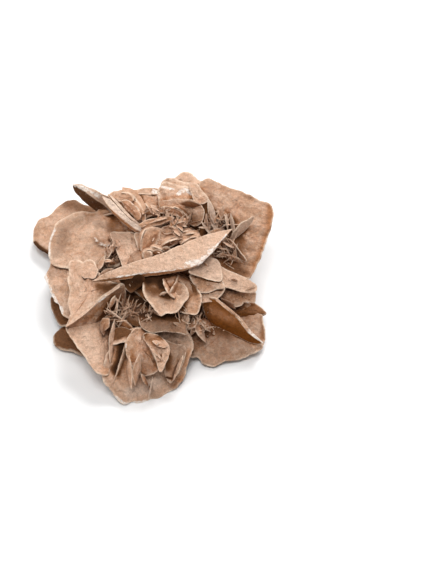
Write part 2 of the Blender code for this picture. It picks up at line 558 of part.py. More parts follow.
def add_back_plate(name, middle, azimuth, tilt, spin, length, width, thick):
    """A free-standing plate: an oval with shallow lobes."""
    turn = Matrix.Rotation(math.radians(azimuth), 3, "Z") @ Matrix.Rotation(math.radians(tilt), 3, "Y")
    turn = turn @ Matrix.Rotation(math.radians(spin + 90), 3, "Z")
    rim = []
    for k in range(BACK_POINTS):
        t = 2 * math.pi * k / BACK_POINTS
        swell = 1 + sum(share * math.sin(lobes * t + at) for (lobes, share), at in zip(BACK_LOBES, middle))
        spoke = Vector((length * math.cos(t), width * math.sin(t), 0)) * swell / 2
        rim.append(Vector(middle) + turn @ spoke)
    add_crystal(name, *plate_on(rim, turn @ Vector((0, 0, 1)), thick))


def add_lump(middle, radii):
    shape = bmesh.new()
    bmesh.ops.create_icosphere(shape, subdivisions=1, radius=LUMP_SWELL)
    vertices = [Vector(middle) + Vector([c * r for c, r in zip(v.co, radii)]) for v in shape.verts]
    faces = [[v.index for v in f.verts] for f in shape.faces]
    shape.free()
    MASS.take(vertices, faces)
    return add_solid("lump", vertices, faces)


def add_ground():
    """The block under z = 0 that trims the rose's underside."""
    shape = bmesh.new()
    bmesh.ops.create_cube(shape, size=GROUND)
    vertices = [v.co - Vector((0, 0, GROUND / 2)) for v in shape.verts]
    faces = [[v.index for v in f.verts] for f in shape.faces]
    shape.free()
    ground = add_solid("ground", vertices, faces)
    CRYSTALS.objects.unlink(ground)
    bpy.context.scene.collection.objects.link(ground)
    return ground


def gypsum():
    material = bpy.data.materials.new("gypsum")
    material.use_nodes = True
    shader = material.node_tree.nodes["Principled BSDF"]
    shader.inputs["Base Color"].default_value = STONE_COLOUR
    shader.inputs["Roughness"].default_value = STONE_ROUGHNESS
    shader.inputs["Metallic"].default_value = 0.0
    return material


def fuse(body, ground):
    """The rose: one block of the mass, joined to every crystal and trimmed by the ground."""
    CRYSTALS.objects.unlink(body)
    bpy.context.scene.collection.objects.link(body)
    body.name = body.data.name = "sand_rose"
    body.hide_render = False
    body.display_type = "TEXTURED"
    body.data.materials.append(gypsum())
    union = body.modifiers.new("crystals", "BOOLEAN")
    union.operation = "UNION"
    union.operand_type = "COLLECTION"
    union.collection = CRYSTALS
    trim = body.modifiers.new("underside", "BOOLEAN")
    trim.operation = "DIFFERENCE"
    trim.object = ground
    return body


def keep_largest(body):
    """Bakes the Booleans and drops whatever isn't joined to the mass: stray slivers and shells around sealed gaps."""
    graph = bpy.context.evaluated_depsgraph_get()
    whole = bpy.data.meshes.new_from_object(body.evaluated_get(graph))
    shape = bmesh.new()
    shape.from_mesh(whole)
    left = set(shape.faces)
    shells = []
    while left:
        border = [left.pop()]
        shell = set(border)
        while border:
            border = {f for face in border for e in face.edges if len(e.link_faces) == 2 for f in e.link_faces} & left
            left -= border
            shell |= border
        shells.append(shell)
    largest = max(shells, key=len)
    bmesh.ops.delete(shape, geom=[f for f in shape.faces if f not in largest], context="FACES")
    bmesh.ops.dissolve_limit(shape, angle_limit=FLAT_ENOUGH, verts=shape.verts, edges=shape.edges)
    bmesh.ops.triangulate(shape, faces=shape.faces)
    shape.to_mesh(whole)
    shape.free()
    body.modifiers.clear()
    body.data = whole
    whole.name = body.name


for old in list(bpy.data.objects):
    bpy.data.objects.remove(old)
CRYSTALS = bpy.data.collections.new("crystals")
bpy.context.scene.collection.children.link(CRYSTALS)
MASS = Mass()

lumps = [add_lump(*lump) for lump in LUMPS]
for number, plate in enumerate(BACK_PLATES):
    add_back_plate(f"back_plate_{number}", *plate)
for label, plate in PLATES.items():
    add_plate(label, *plate)
for number, blade in enumerate(BLADES):
    add_blade(f"blade_{number}", *blade)
for number, nest in enumerate(NESTS):
    add_nest(f"nest_{number}", *nest)
keep_largest(fuse(lumps[0], add_ground()))
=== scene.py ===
import math

import bpy
import numpy as np
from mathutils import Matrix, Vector
from mathutils.bvhtree import BVHTree


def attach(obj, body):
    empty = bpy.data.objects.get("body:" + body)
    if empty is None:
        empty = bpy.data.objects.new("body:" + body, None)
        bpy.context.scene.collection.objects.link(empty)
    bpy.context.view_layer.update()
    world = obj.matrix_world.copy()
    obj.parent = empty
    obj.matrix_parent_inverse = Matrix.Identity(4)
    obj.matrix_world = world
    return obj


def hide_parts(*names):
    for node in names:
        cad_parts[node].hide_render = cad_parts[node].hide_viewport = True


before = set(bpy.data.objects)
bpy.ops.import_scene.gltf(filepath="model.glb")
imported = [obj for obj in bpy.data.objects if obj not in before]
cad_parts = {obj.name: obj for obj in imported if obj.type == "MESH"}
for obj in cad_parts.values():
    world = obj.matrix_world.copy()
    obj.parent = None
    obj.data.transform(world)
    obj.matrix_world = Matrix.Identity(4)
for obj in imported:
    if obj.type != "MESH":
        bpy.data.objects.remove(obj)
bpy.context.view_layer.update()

print("sand rose: frame loaded")

mm = 0.001

# The crystals are laid out on an oblique sheet, as a specimen is sketched: (across, up) in millimetres.
# A height above the ground lifts a point of the sheet into space along the eye's own ray.
sheet = {"riseDeg": 50.0, "eyeAcross": 50.0, "eyeUp": 24.0, "eyeOut": 1200.0}
rise = math.radians(sheet["riseDeg"])
across = np.array([1.0, 0.0, 0.0])
up = np.array([0.0, math.sin(rise), math.cos(rise)])
out = np.array([0.0, -math.cos(rise), math.sin(rise)])
eye = sheet["eyeAcross"] * across + sheet["eyeUp"] * up + sheet["eyeOut"] * out

# How fine the surfaces are: points round a rim per millimetre, and rings from the middle to the rim.
fine = {"perMm": 1.05, "fewest": 44, "most": 250, "rings": 30, "smallRings": 12}

lumps = (
    ((0, 8, 20), (46, 42, 25)),
    ((14, 26, 38), (36, 32, 17)),
    ((14, 54, 42), (32, 28, 18)),
    ((16, -9, 43), (22, 16, 14)),
    ((8, 14, 47), (24, 16, 13)),
    ((-30, 20, 24), (26, 28, 13)),
    ((48, 20, 24), (26, 30, 13)),
    ((-2, -22, 20), (30, 26, 12)),
)

plates = {
    # the low tables behind and beneath the west side
    "west_low_table": (
        [(-87, 64), (-86, 70), (-82, 75), (-75, 77.5), (-70, 83), (-63, 88.5), (-56, 90), (-49, 86.5), (-40, 82),
         (-35, 66), (-50, 48), (-68, 44), (-76, 49), (-82, 52.5), (-86.5, 57.5)],
        ((-86, 66, 14), (-56, 90, 20), (-60, 50, 16)), 6),
    "west_hidden_table": (
        [(-73, 18), (-74, 12), (-72, 5), (-68, -3), (-64, -5), (-54, -2), (-48, 12), (-60, 24)],
        ((-73, 14, 17), (-66, -5, 13), (-52, 10, 22)), 4),
    "west_foot": (
        [(-68, -7.5), (-71.5, -12), (-71.5, -17.5), (-68, -21.5), (-59, -23.5), (-48, -26), (-42, -10), (-52, 0),
         (-62, -4)],
        ((-70, -12, 8), (-50, -20, 8), (-58, -4, 10)), 7),
    # the broad west table and the ragged one under its front
    "west_table": (
        [(-74, 42), (-75, 58), (-71.5, 65), (-70, 71.5), (-60, 78.5), (-52, 81), (-41, 80.5), (-34, 84.5),
         (-26, 80), (-15, 68), (-12, 52), (-25, 40), (-45, 36), (-62, 38)],
        ((-74, 50, 38), (-50, 81, 46), (-25, 50, 44)), 3.6),
    "west_ragged_table": (
        [(-74, 43), (-76, 37), (-79.5, 33), (-77, 28.5), (-75, 23.5), (-71.5, 15.5), (-67, 9), (-65, 4), (-60, 1.5),
         (-52, 10), (-50, 35), (-60, 46), (-70, 48)],
        ((-79, 32, 30), (-66, 8, 26), (-62, 44, 37)), 3.2),
    # the roof at the front west corner: two slopes that meet in a ridge, and the apron below them
    "roof_west_slope": (
        [(-59, 44), (-53, 44.7), (-50, 43.6), (-46, 45), (-41, 43.5), (-38, 36), (-30, 30), (-20, 27), (-30, 20),
         (-38, 15.5), (-50, 4), (-62, -5), (-59.5, 4), (-61, 12), (-60, 22), (-61, 32)],
        ((-60, 0, 39), (-60, 43, 44), (-35, 28, 51)), 3),
    "roof_front_slope": (
        [(-62.5, -5), (-50, 4), (-38, 15.5), (-30, 20.5), (-20, 27), (-18, 18), (-26, 6), (-34, 0), (-47, -4),
         (-57, -9.5)],
        ((-62, -5, 37), (-22, 25, 54), (-40, -3, 30)), 2.6),
    "roof_apron": (
        [(-62.5, -5), (-60, -11), (-51, -24), (-43, -35.5), (-38.5, -40.5), (-33.5, -42), (-30, -39.5), (-28, -33),
         (-27, -18), (-25, -3), (-32, 3), (-45, 0), (-56, -1)],
        ((-61, -8, 36), (-35, -41, 22), (-30, 0, 30)), 3),
    "apron_shelf": (
        [(-28, -18.7), (-21, -17.2), (-14, -15.8), (-12, -9), (-20, -5), (-27, -8)],
        ((-27, -18.5, 26), (-15, -16, 27), (-22, -6, 30)), 2),
    "apron_arch": (
        [(-32, 6), (-25, 3.5), (-19, 0.5), (-14, -3.5), (-11, -8), (-14, -10.5), (-20, -8.5), (-26, -2)],
        ((-32, 6, 40), (-11, -8, 33), (-21, -6, 32)), 2.4),
    # the front rosette
    "front_table": (
        [(-36, -41), (-33.5, -48), (-28.5, -54), (-23.5, -60.5), (-19, -63.6), (-13, -61.6), (-6.5, -63.2),
         (1, -59.7), (8, -58.5), (14.5, -54.3), (22.5, -48.5), (27.8, -41), (29, -31), (33, -20), (28, -8),
         (10, -4), (-8, -5), (-22, -12), (-32, -26)],
        ((-19, -62, 4), (27, -40, 8), (0, -6, 34)), 3.6),
    "front_face": (
        [(-14, -9), (-9, -5.5), (-3, -6), (0, -18), (6, -31), (6, -39), (-4, -42), (-14, -34), (-18, -20)],
        ((-10, -8, 39), (5, -38, 20), (-15, -28, 28)), 2.6),
    "front_leaf": (
        [(-5, -12), (0, -9.3), (6, -11), (12, -15.5), (15.3, -20), (14.3, -28), (11.5, -34.5), (8, -39),
         (5, -31), (0, -21)],
        ((-5, -12, 42), (8, -39, 27), (15, -20, 34)), 2),
    "front_east_leaf": (
        [(8, -14), (18, -17), (27, -20), (26.7, -30), (22.5, -39), (16.5, -47), (12.5, -43), (10, -30)],
        ((27, -20, 26), (16, -47, 14), (10, -20, 30)), 2.4),
    "front_shelf": (
        [(1.5, -9.7), (12, -9), (22, -9.6), (28.5, -10.3), (27, -2), (20, 5), (5, 6), (-8, 4), (-6, -5)],
        ((2, -9.5, 40), (28, -10, 38), (8, 5, 44)), 2.2),
    "shadow_wall": (
        [(-26, 8), (-18, 17), (-6, 16), (4, 9), (4, -2), (-6, -5), (-16, -2)],
        ((-20, 5, 37), (0, 10, 44), (-5, -4, 38)), 3),
    # the east table at the front and the great leaning blade on it
    "east_front_table": (
        [(29, -24), (31, -28), (35.5, -28.3), (41, -33), (47, -35), (53, -32.8), (60, -31), (69, -29), (78, -25.3),
         (84, -21.5), (87, -15), (87, -7), (85.5, -1), (83, 6), (70, 14), (50, 13), (36, 4), (28, -12)],
        ((46, -35, 4), (87, -14, 12), (55, 5, 22)), 3.6),
    "east_leaning_blade": (
        [(40, 15), (50.5, 15.5), (56, 10.5), (66, 2.4), (71, -4), (76, -10), (80.5, -13.5), (85.2, -17.6),
         (79, -18), (72, -15.5), (60, -9), (50, -4), (42, 3)],
        ((51, 15, 48), (85, -17.5, 17), (60, -9, 17)), 2.2),
    "east_shelf": (
        [(52, 40), (62, 36.3), (71, 32.6), (76, 29.5), (80.3, 25.8), (79.5, 21), (70, 21), (60, 23.5), (52, 26)],
        ((55, 25, 46), (80, 22, 41), (62, 36, 48)), 2.4),
    "east_under_shelf": (
        [(52, 25), (66, 25), (77, 22), (80, 20), (79.7, 15), (78, 12.6), (72, 13.2), (68.5, 10.5), (63, 9.6),
         (58, 11.8), (53, 17)],
        ((79, 14, 30), (62, 10, 31), (65, 22, 36)), 2.4),
    "east_lens": (
        [(62, 5), (69.5, 10.5), (75, 12.8), (80, 12), (85, 8.5), (88, 4.2), (82, 2), (74, 1.2), (66, 1.5)],
        ((67, 4, 22), (87, 4, 20.5), (76, 12, 24)), 6),
    # the petals that hang under the long blade
    "petal_front": (
        [(-1, 32), (-5, 23), (-3.8, 17.5), (0, 12), (6, 4.5), (9, 2.5), (13, 4), (17, 4), (22, 6.5), (26, 11.5),
         (29.8, 17.5), (26, 26), (14, 33)],
        ((8, 3, 50), (-4, 22, 55), (28, 17, 53)), 2.4),
    "petal_east_low": (
        [(20, 7), (28, 4.8), (35, 4), (37.5, 7), (39, 13.5), (38.5, 20), (33, 27), (25, 28), (20, 16)],
        ((35, 4, 44), (38, 20, 50), (24, 10, 46)), 2.4),
    "petal_east_top": (
        [(30, 38), (36, 41), (43, 46.5), (49.5, 46), (53, 42.5), (54.7, 35.5), (54, 29), (46, 29.6), (38, 31.6),
         (30, 34.3)],
        ((33, 36, 60), (54, 36, 56), (46, 46, 61)), 2.4),
    "petal_east_middle": (
        [(30, 34), (40, 33), (53, 32), (56.3, 24.5), (51, 22.8), (45, 20.7), (38, 20.6), (33, 26)],
        ((33, 28, 53), (55, 25, 50), (44, 20, 48)), 2.2),
    "petal_east_base": (
        [(36, 25), (46, 27), (56, 25), (55.5, 20), (51.5, 15.8), (46, 13.3), (39, 12.8), (37, 17)],
        ((39, 13, 44), (51, 16, 44), (45, 24, 47.5)), 2.4),
    "petal_west_outer": (
        [(-22, 32), (-18.5, 25), (-14, 20), (-10.5, 22), (-4, 28), (-6, 34)],
        ((-21, 31, 58), (-14, 20, 48), (-6, 31, 60)), 2),
    "petal_west_inner": (
        [(-15, 30), (-12.5, 24.5), (-7.5, 19), (-1.5, 13.5), (2, 20), (2, 32)],
        ((-8, 19.5, 48), (-2, 14, 47), (-6, 31, 58)), 2),
    # the long blade across the middle
    "long_blade": (
        [(-42.5, 28.8), (-34, 30), (-21, 31.4), (0, 33.6), (20, 36.3), (31, 38.6), (37, 39.8), (42, 43), (46.5, 49),
         (51, 56), (56, 62), (62.5, 68.3), (53, 67), (44, 64.5), (34, 61.5), (22, 56), (8, 50), (-6, 45.8),
         (-20, 41), (-33, 35.5)],
        ((-42, 29, 60), (62, 68, 72), (10, 35, 74)), 3.2),
    # the great table at the back of the east side, and the stack of lobes beside it
    "east_back_table": (
        [(36, 101), (40, 105.3), (45, 106), (51, 103.7), (59, 99.7), (67, 97.5), (76, 94), (84, 89.3), (89.5, 87.3),
         (92.3, 84), (93, 78), (91.2, 68), (88, 58), (85, 50), (81.2, 41), (77.5, 34), (72.5, 30.7), (58, 30),
         (44, 40), (34, 60), (32, 85)],
        ((45, 106, 71), (91, 80, 60), (74, 32, 41)), 5),
    "crown_lobe_back": (
        [(16, 103), (19.5, 108), (24, 110.8), (28, 111.5), (32, 110), (36, 106), (41, 103), (40, 94), (18, 92)],
        ((20, 108, 64), (36, 106, 66), (28, 95, 60)), 3),
    "crown_lobe_middle": (
        [(6.5, 97), (8.5, 103), (12.5, 106.3), (18, 106.5), (25, 104), (33, 103), (38, 99), (36, 88), (20, 86),
         (8, 90)],
        ((10, 104, 66), (34, 103, 69), (20, 90, 62)), 3),
    "crown_lobe_front": (
        [(6.3, 95), (7.5, 100.5), (12, 104), (18.5, 102.3), (24, 101), (28.5, 100), (33, 98.5), (35, 92), (32, 84),
         (15, 82), (7, 88)],
        ((10, 103, 71), (30, 95, 70), (15, 86, 64)), 2.6),
    "crown_strip": (
        [(30, 103), (36, 102.3), (40, 97), (45, 91), (41, 87), (35, 88), (31, 96)],
        ((36, 102, 75), (44, 91, 71), (33, 91, 70)), 2.4),
    "north_table": (
        [(-33, 90), (-28, 96), (-20, 97.8), (-8, 98.3), (0, 99.6), (6, 99), (11, 94), (15, 87), (10, 76),
         (-5, 72), (-18, 76), (-28, 83)],
        ((-27, 96, 58), (5, 99, 63), (0, 78, 55)), 4),
    "heart_back_plate": (
        [(7, 88.5), (14, 90.3), (24, 90.8), (34, 90), (39, 87), (41, 81), (39.5, 74), (35, 70.3), (30, 71.5),
         (22, 76), (11, 80)],
        ((10, 89, 67), (38, 87, 69), (34, 71, 61)), 2.4),
    # the steep blades at the north-west
    "steep_blade_west": (
        [(-35.7, 93.3), (-30, 91), (-22, 84.5), (-14, 76.5), (-5, 69), (-7, 66.5), (-16, 71.5), (-25, 79),
         (-32, 86.5)],
        ((-35, 93, 76), (-7, 68, 61), (-25, 79, 74)), 3.6),
    "steep_blade_east": (
        [(-32.3, 95.3), (-27, 94.5), (-19, 88.5), (-12, 80.5), (-7, 74), (-9, 71.5), (-17, 78.5), (-25, 87)],
        ((-32, 95, 72), (-9, 74, 60), (-20, 89, 62)), 3),
    "shell_ridge_top": (
        [(-27, 93), (-22, 96.3), (-16, 96), (-12, 93.3), (-11.3, 89.5), (-15, 87.5), (-21, 88)],
        ((-25, 94, 64), (-12, 92, 66), (-16, 88, 63)), 2),
    "shell_ridge_middle": (
        [(-21, 89.5), (-16, 90), (-11.5, 87), (-7.5, 82), (-6.5, 77), (-9, 74.5), (-13, 78.5), (-18, 84)],
        ((-20, 88, 66), (-8, 82, 68), (-10, 76, 64)), 2),
    "shell_ridge_low": (
        [(-14, 90), (-9, 88.5), (-5, 84), (-2.5, 78.5), (-4, 74), (-8, 76), (-11, 83)],
        ((-13, 89, 63), (-3, 79, 63), (-8, 77, 61)), 2),
    # the heart: petals packed behind the long blade
    "heart_hood": (
        [(-6, 50), (-6.7, 60), (-4.6, 66), (-1, 69.5), (4, 70.3), (9, 68), (7, 60), (3, 53)],
        ((-5, 52, 57), (-2, 69, 69), (7, 62, 63)), 2.4),
    "heart_west_petal": (
        [(-11.3, 65), (-10.7, 60), (-8.3, 53), (-6.5, 49), (-4, 55), (-4, 63), (-8, 66.3)],
        ((-11, 64, 60), (-7, 51, 53), (-5, 63, 59)), 1.8),
    "heart_cover": (
        [(-8, 71.5), (-2, 75), (6, 76.6), (15, 78.2), (19, 76), (13, 72.8), (4, 70), (-3, 69)],
        ((-7, 72, 69), (17, 77, 72), (4, 70.5, 68)), 2.2),
    "heart_pink_petal": (
        [(3, 55), (5.5, 62.5), (8.5, 67.7), (13.5, 70.6), (19, 70), (23, 67), (26, 62), (20, 57), (10, 53)],
        ((5, 60, 62), (14, 70, 69), (22, 62, 63)), 2),
    "heart_east_petal": (
        [(20, 61), (24, 65.5), (29, 67), (35, 65.5), (39, 62), (34, 58.5), (27, 56.5)],
        ((22, 62, 63), (36, 64, 66), (28, 57, 62)), 2),
    "heart_arch": (
        [(5.5, 81.5), (11, 84.5), (18, 84.8), (24, 82), (30, 76), (25, 75.5), (19, 79), (11, 80.5)],
        ((6, 82, 68), (19, 84, 72), (29, 76, 66)), 1.8),
    "heart_slip": (
        [(16, 72), (22, 74.3), (28.5, 74), (28, 71), (21, 69.8)],
        ((17, 72, 69), (28, 74, 70), (22, 70, 67)), 1.8),
    "heart_knob": (
        [(-4.5, 50), (-3, 52.6), (0.5, 52), (2.5, 49), (1, 46), (-3, 45.5)],
        ((-4, 50, 62), (2, 49, 63), (-2, 46, 60)), 3),
    # leaves in the west nest and the east nest
    "west_nest_wall": (
        [(-29.3, 65.2), (-20, 66), (-11, 65), (-7, 56), (-6, 45), (-13, 41), (-20, 40.5), (-25, 53)],
        ((-29, 65, 57), (-20, 42, 50), (-9, 55, 54)), 2),
    "west_nest_lens": (
        [(-34.5, 44), (-31, 45.8), (-27.5, 44), (-25.5, 40.5), (-31, 39.5)],
        ((-34, 44, 49), (-26, 41, 50), (-30, 45, 51)), 2),
    "west_slip": (
        [(-50.5, 33.7), (-49, 39), (-44, 41.5), (-39, 38), (-39, 31.8), (-45, 30.5)],
        ((-50, 34, 47.2), (-44, 41, 50.6), (-40, 32, 50.6)), 1.6),
    "east_nest_lens": (
        [(47, 80.8), (53, 81), (57.7, 77.5), (55, 74.3), (49, 75)],
        ((48, 80, 66), (57, 77, 65), (52, 75, 62)), 2),
    "east_nest_wing": (
        [(60, 60), (63.5, 67), (68, 72.3), (73, 74.8), (78.7, 77.7), (75.5, 71), (70.5, 66), (65, 61.3)],
        ((61, 60.5, 58), (78, 77, 72), (68, 72, 72)), 1.8),
    "east_nest_wall": (
        [(58, 61), (63, 58.5), (68, 52), (73.3, 44.3), (68, 45), (61, 48), (56, 54)],
        ((60, 60, 61), (73, 45, 53), (62, 50, 50)), 1.8),
    "east_nest_slip": (
        [(48, 54), (51, 56.7), (56.7, 51), (54.5, 47.8), (49, 47.5)],
        ((50, 55, 58), (56, 51, 56), (50, 48.5, 51)), 1.8),
}

blades = (
    # the horn at the north-west
    ((-22, 80, 50), (-58.5, 102.3, 70), 22, -58, 14),
    # on the front rosette
    ((-28.3, -50, 17), (-9, -6, 42), 20, 62, 3),
    ((-14, -51.5, 17), (-14.8, -25, 36), 9, -52, 2.4),
    ((-11.5, -49.5, 18), (-8, -25.5, 36), 9, 40, 2.4),
    ((-0.6, -60, 8), (2.6, -42, 22), 9, 78, 1.4),
    ((-0.5, -50, 13), (-6.5, -40.5, 24), 6, 62, 1.4),
    ((15, -19, 34), (2, -16, 40), 7, 50, 1.4),
    ((9, -27.5, 30), (1, -21.5, 38), 5, 50, 1.4),
    ((17, -46.5, 14), (25.5, -26, 28), 8, -70, 1.4),
    # on the apron
    ((-30.3, -31.5, 27), (-26, 0.5, 40), 13, 68, 2.2),
    ((-36.5, -8, 31), (-30, 1.5, 41), 9, -35, 1.8),
    ((-34, -12, 29), (-33, -1, 38), 7, 60, 1.5),
    # in the nest behind the apron
    ((-29.5, 9, 40), (-25.5, 19, 50), 7, 20, 1.6),
    ((-24, 5.5, 41), (-23, 17, 51), 5, -60, 1.5),
    ((-31, 4, 38), (-21, 6, 42), 5, -50, 1.5),
    ((-33, 10, 42), (-22, 2, 44), 4, 60, 1.4),
    # in the nest on the east table
    ((43, -18.3, 16), (31.5, 0.5, 33), 15, 50, 2),
    ((27.5, -7.5, 28), (36, 4, 36), 9, -40, 1.8),
    ((31, -12, 20), (38, 3, 34), 8, 55, 1.6),
    ((24, -3, 34), (29, 6, 42), 7, -20, 1.6),
    ((39, -7, 24), (36.5, 2, 34), 5, 40, 1.4),
    ((46, -9, 20), (38, 0, 30), 5, 50, 1.4),
    # under the long blade
    ((18.3, 15.3, 54), (9.3, 31.8, 66), 13, 58, 1.6),
    ((16, 18, 56), (22, 34.5, 68), 12, -60, 1.6),
    ((23, 33, 64), (31, 36, 66), 9, 30, 1.6),
    ((7.5, 17.5, 54), (13.5, 20.5, 58), 4, 60, 1.4),
    ((40.3, 43.5, 61), (45, 40, 59), 4, 60, 1.2),
    ((61, 30.5, 47), (67, 29.5, 47), 4, 60, 1.2),
    # at the east edge
    ((53.5, 16.5, 42), (64.5, 8, 30), 8, 60, 1.6),
    ((71, 21.5, 41), (80.6, 25.2, 41), 5, 60, 1.2),
    # on the great table and in the east nest
    ((22, 87.3, 71), (39.5, 86, 73), 9, 62, 1.8),
    ((50.5, 76, 61), (43.3, 92.3, 77), 8, -28, 1.8),
    ((65.5, 62, 56), (60.3, 81.5, 74), 7, -48, 1.6),
    ((44.5, 65.5, 61), (42, 78, 72), 6, -50, 1.4),
    ((50.5, 65.5, 61), (44.5, 76.5, 72), 6, 40, 1.4),
    ((50.5, 67, 61), (46.3, 80, 73), 7, -35, 1.6),
    ((46.5, 64, 62), (39.3, 73.5, 70), 6, 45, 1.4),
    ((58.5, 69, 59), (57.5, 79.5, 69), 5, 60, 1.4),
    ((70.5, 41.5, 42), (56, 49.5, 54), 8, -50, 1.6),
    ((63, 43, 46), (57, 39.5, 48), 5, 40, 1.4),
    ((55, 62, 54), (57.5, 55, 54), 6, 60, 1.4),
    # in the heart
    ((8.5, 54.5, 60), (25.5, 61.5, 63), 10, 55, 1.8),
    ((1, 50.3, 61), (11, 50.5, 62), 6, 40, 1.8),
    ((0.5, 54.5, 62), (9, 52.5, 62), 5, -30, 1.8),
    ((9, 53.5, 62), (16, 53.5, 62), 4, 40, 1.6),
    ((7.5, 81.5, 66), (0.5, 86.5, 72), 4, 50, 1.4),
    ((-3.5, 81, 62), (2, 84, 67), 5, 30, 1.4),
    ((-4, 80, 62), (6, 79.5, 67), 6, 40, 1.5),
    # in the west nest
    ((-33.5, 45, 46), (-26, 57.5, 57), 6, -50, 1.4),
    ((-39.3, 36.5, 48), (-33.3, 48.5, 56), 6, -55, 1.4),
    ((-37.5, 34, 51), (-26.5, 38.5, 54), 5, 40, 1.4),
)

nests = (
    ((21, 70, 64), (9, 5.5), 8, 9, (0.0, 0.3, 1.0), 11),
    ((22, 77, 66), (8, 3.5), 5, 8, (0.2, 0.4, 1.0), 12),
    ((60, 51, 48), (5, 7), 6, 8, (-0.3, 0.2, 1.0), 13),
    ((-26, 50, 46), (3.5, 7), 4, 8, (-0.2, 0.2, 1.0), 14),
    ((-19, 7, 40), (9, 6), 8, 9, (0.1, 0.3, 1.0), 15),
    ((-2, 3, 42), (7, 5), 4, 8, (0.0, 0.5, 1.0), 16),
    ((49, -6, 24), (7, 5), 6, 7, (0.1, 0.4, 1.0), 17),
    ((33, 1, 34), (7, 5), 4, 8, (0.0, 0.3, 1.0), 18),
    ((8, -21, 32), (4, 6), 3, 6, (0.3, 0.3, 1.0), 19),
    ((51, 71, 58), (9, 4), 5, 8, (0.0, 0.4, 1.0), 20),
)

underPlates = (
    ((20, 80, 36), 90, 62, 0, 62, 42, 4),
    ((-20, 78, 32), 105, 55, 20, 56, 38, 4),
    ((56, 70, 32), 60, 50, -25, 58, 42, 4),
    ((2, 84, 22), 80, 25, 10, 54, 28, 4),
    ((42, 80, 18), 70, 30, -10, 48, 28, 4),
    ((56, 50, 24), 10, 45, 80, 46, 26, 4),
    ((62, 22, 20), 345, 35, 70, 40, 26, 4),
    ((-58, 46, 22), 190, 40, 80, 40, 26, 4),
    ((-40, 74, 22), 130, 42, 40, 46, 30, 4),
    ((30, 76, 56), 95, 75, 5, 50, 24, 3),
    ((-4, 78, 48), 85, 70, -15, 44, 26, 3),
    ((54, 58, 12), 40, 15, 30, 52, 40, 5),
    ((10, 70, 8), 90, 10, 0, 66, 44, 6),
    ((-46, 46, 8), 160, 12, 60, 56, 40, 6),
    ((-34, -6, 8), 230, 14, -30, 50, 36, 6),
    ((24, -24, 8), 300, 12, 20, 48, 30, 6),
    ((-10, -50, 6), 260, 10, 0, 44, 30, 5),
)

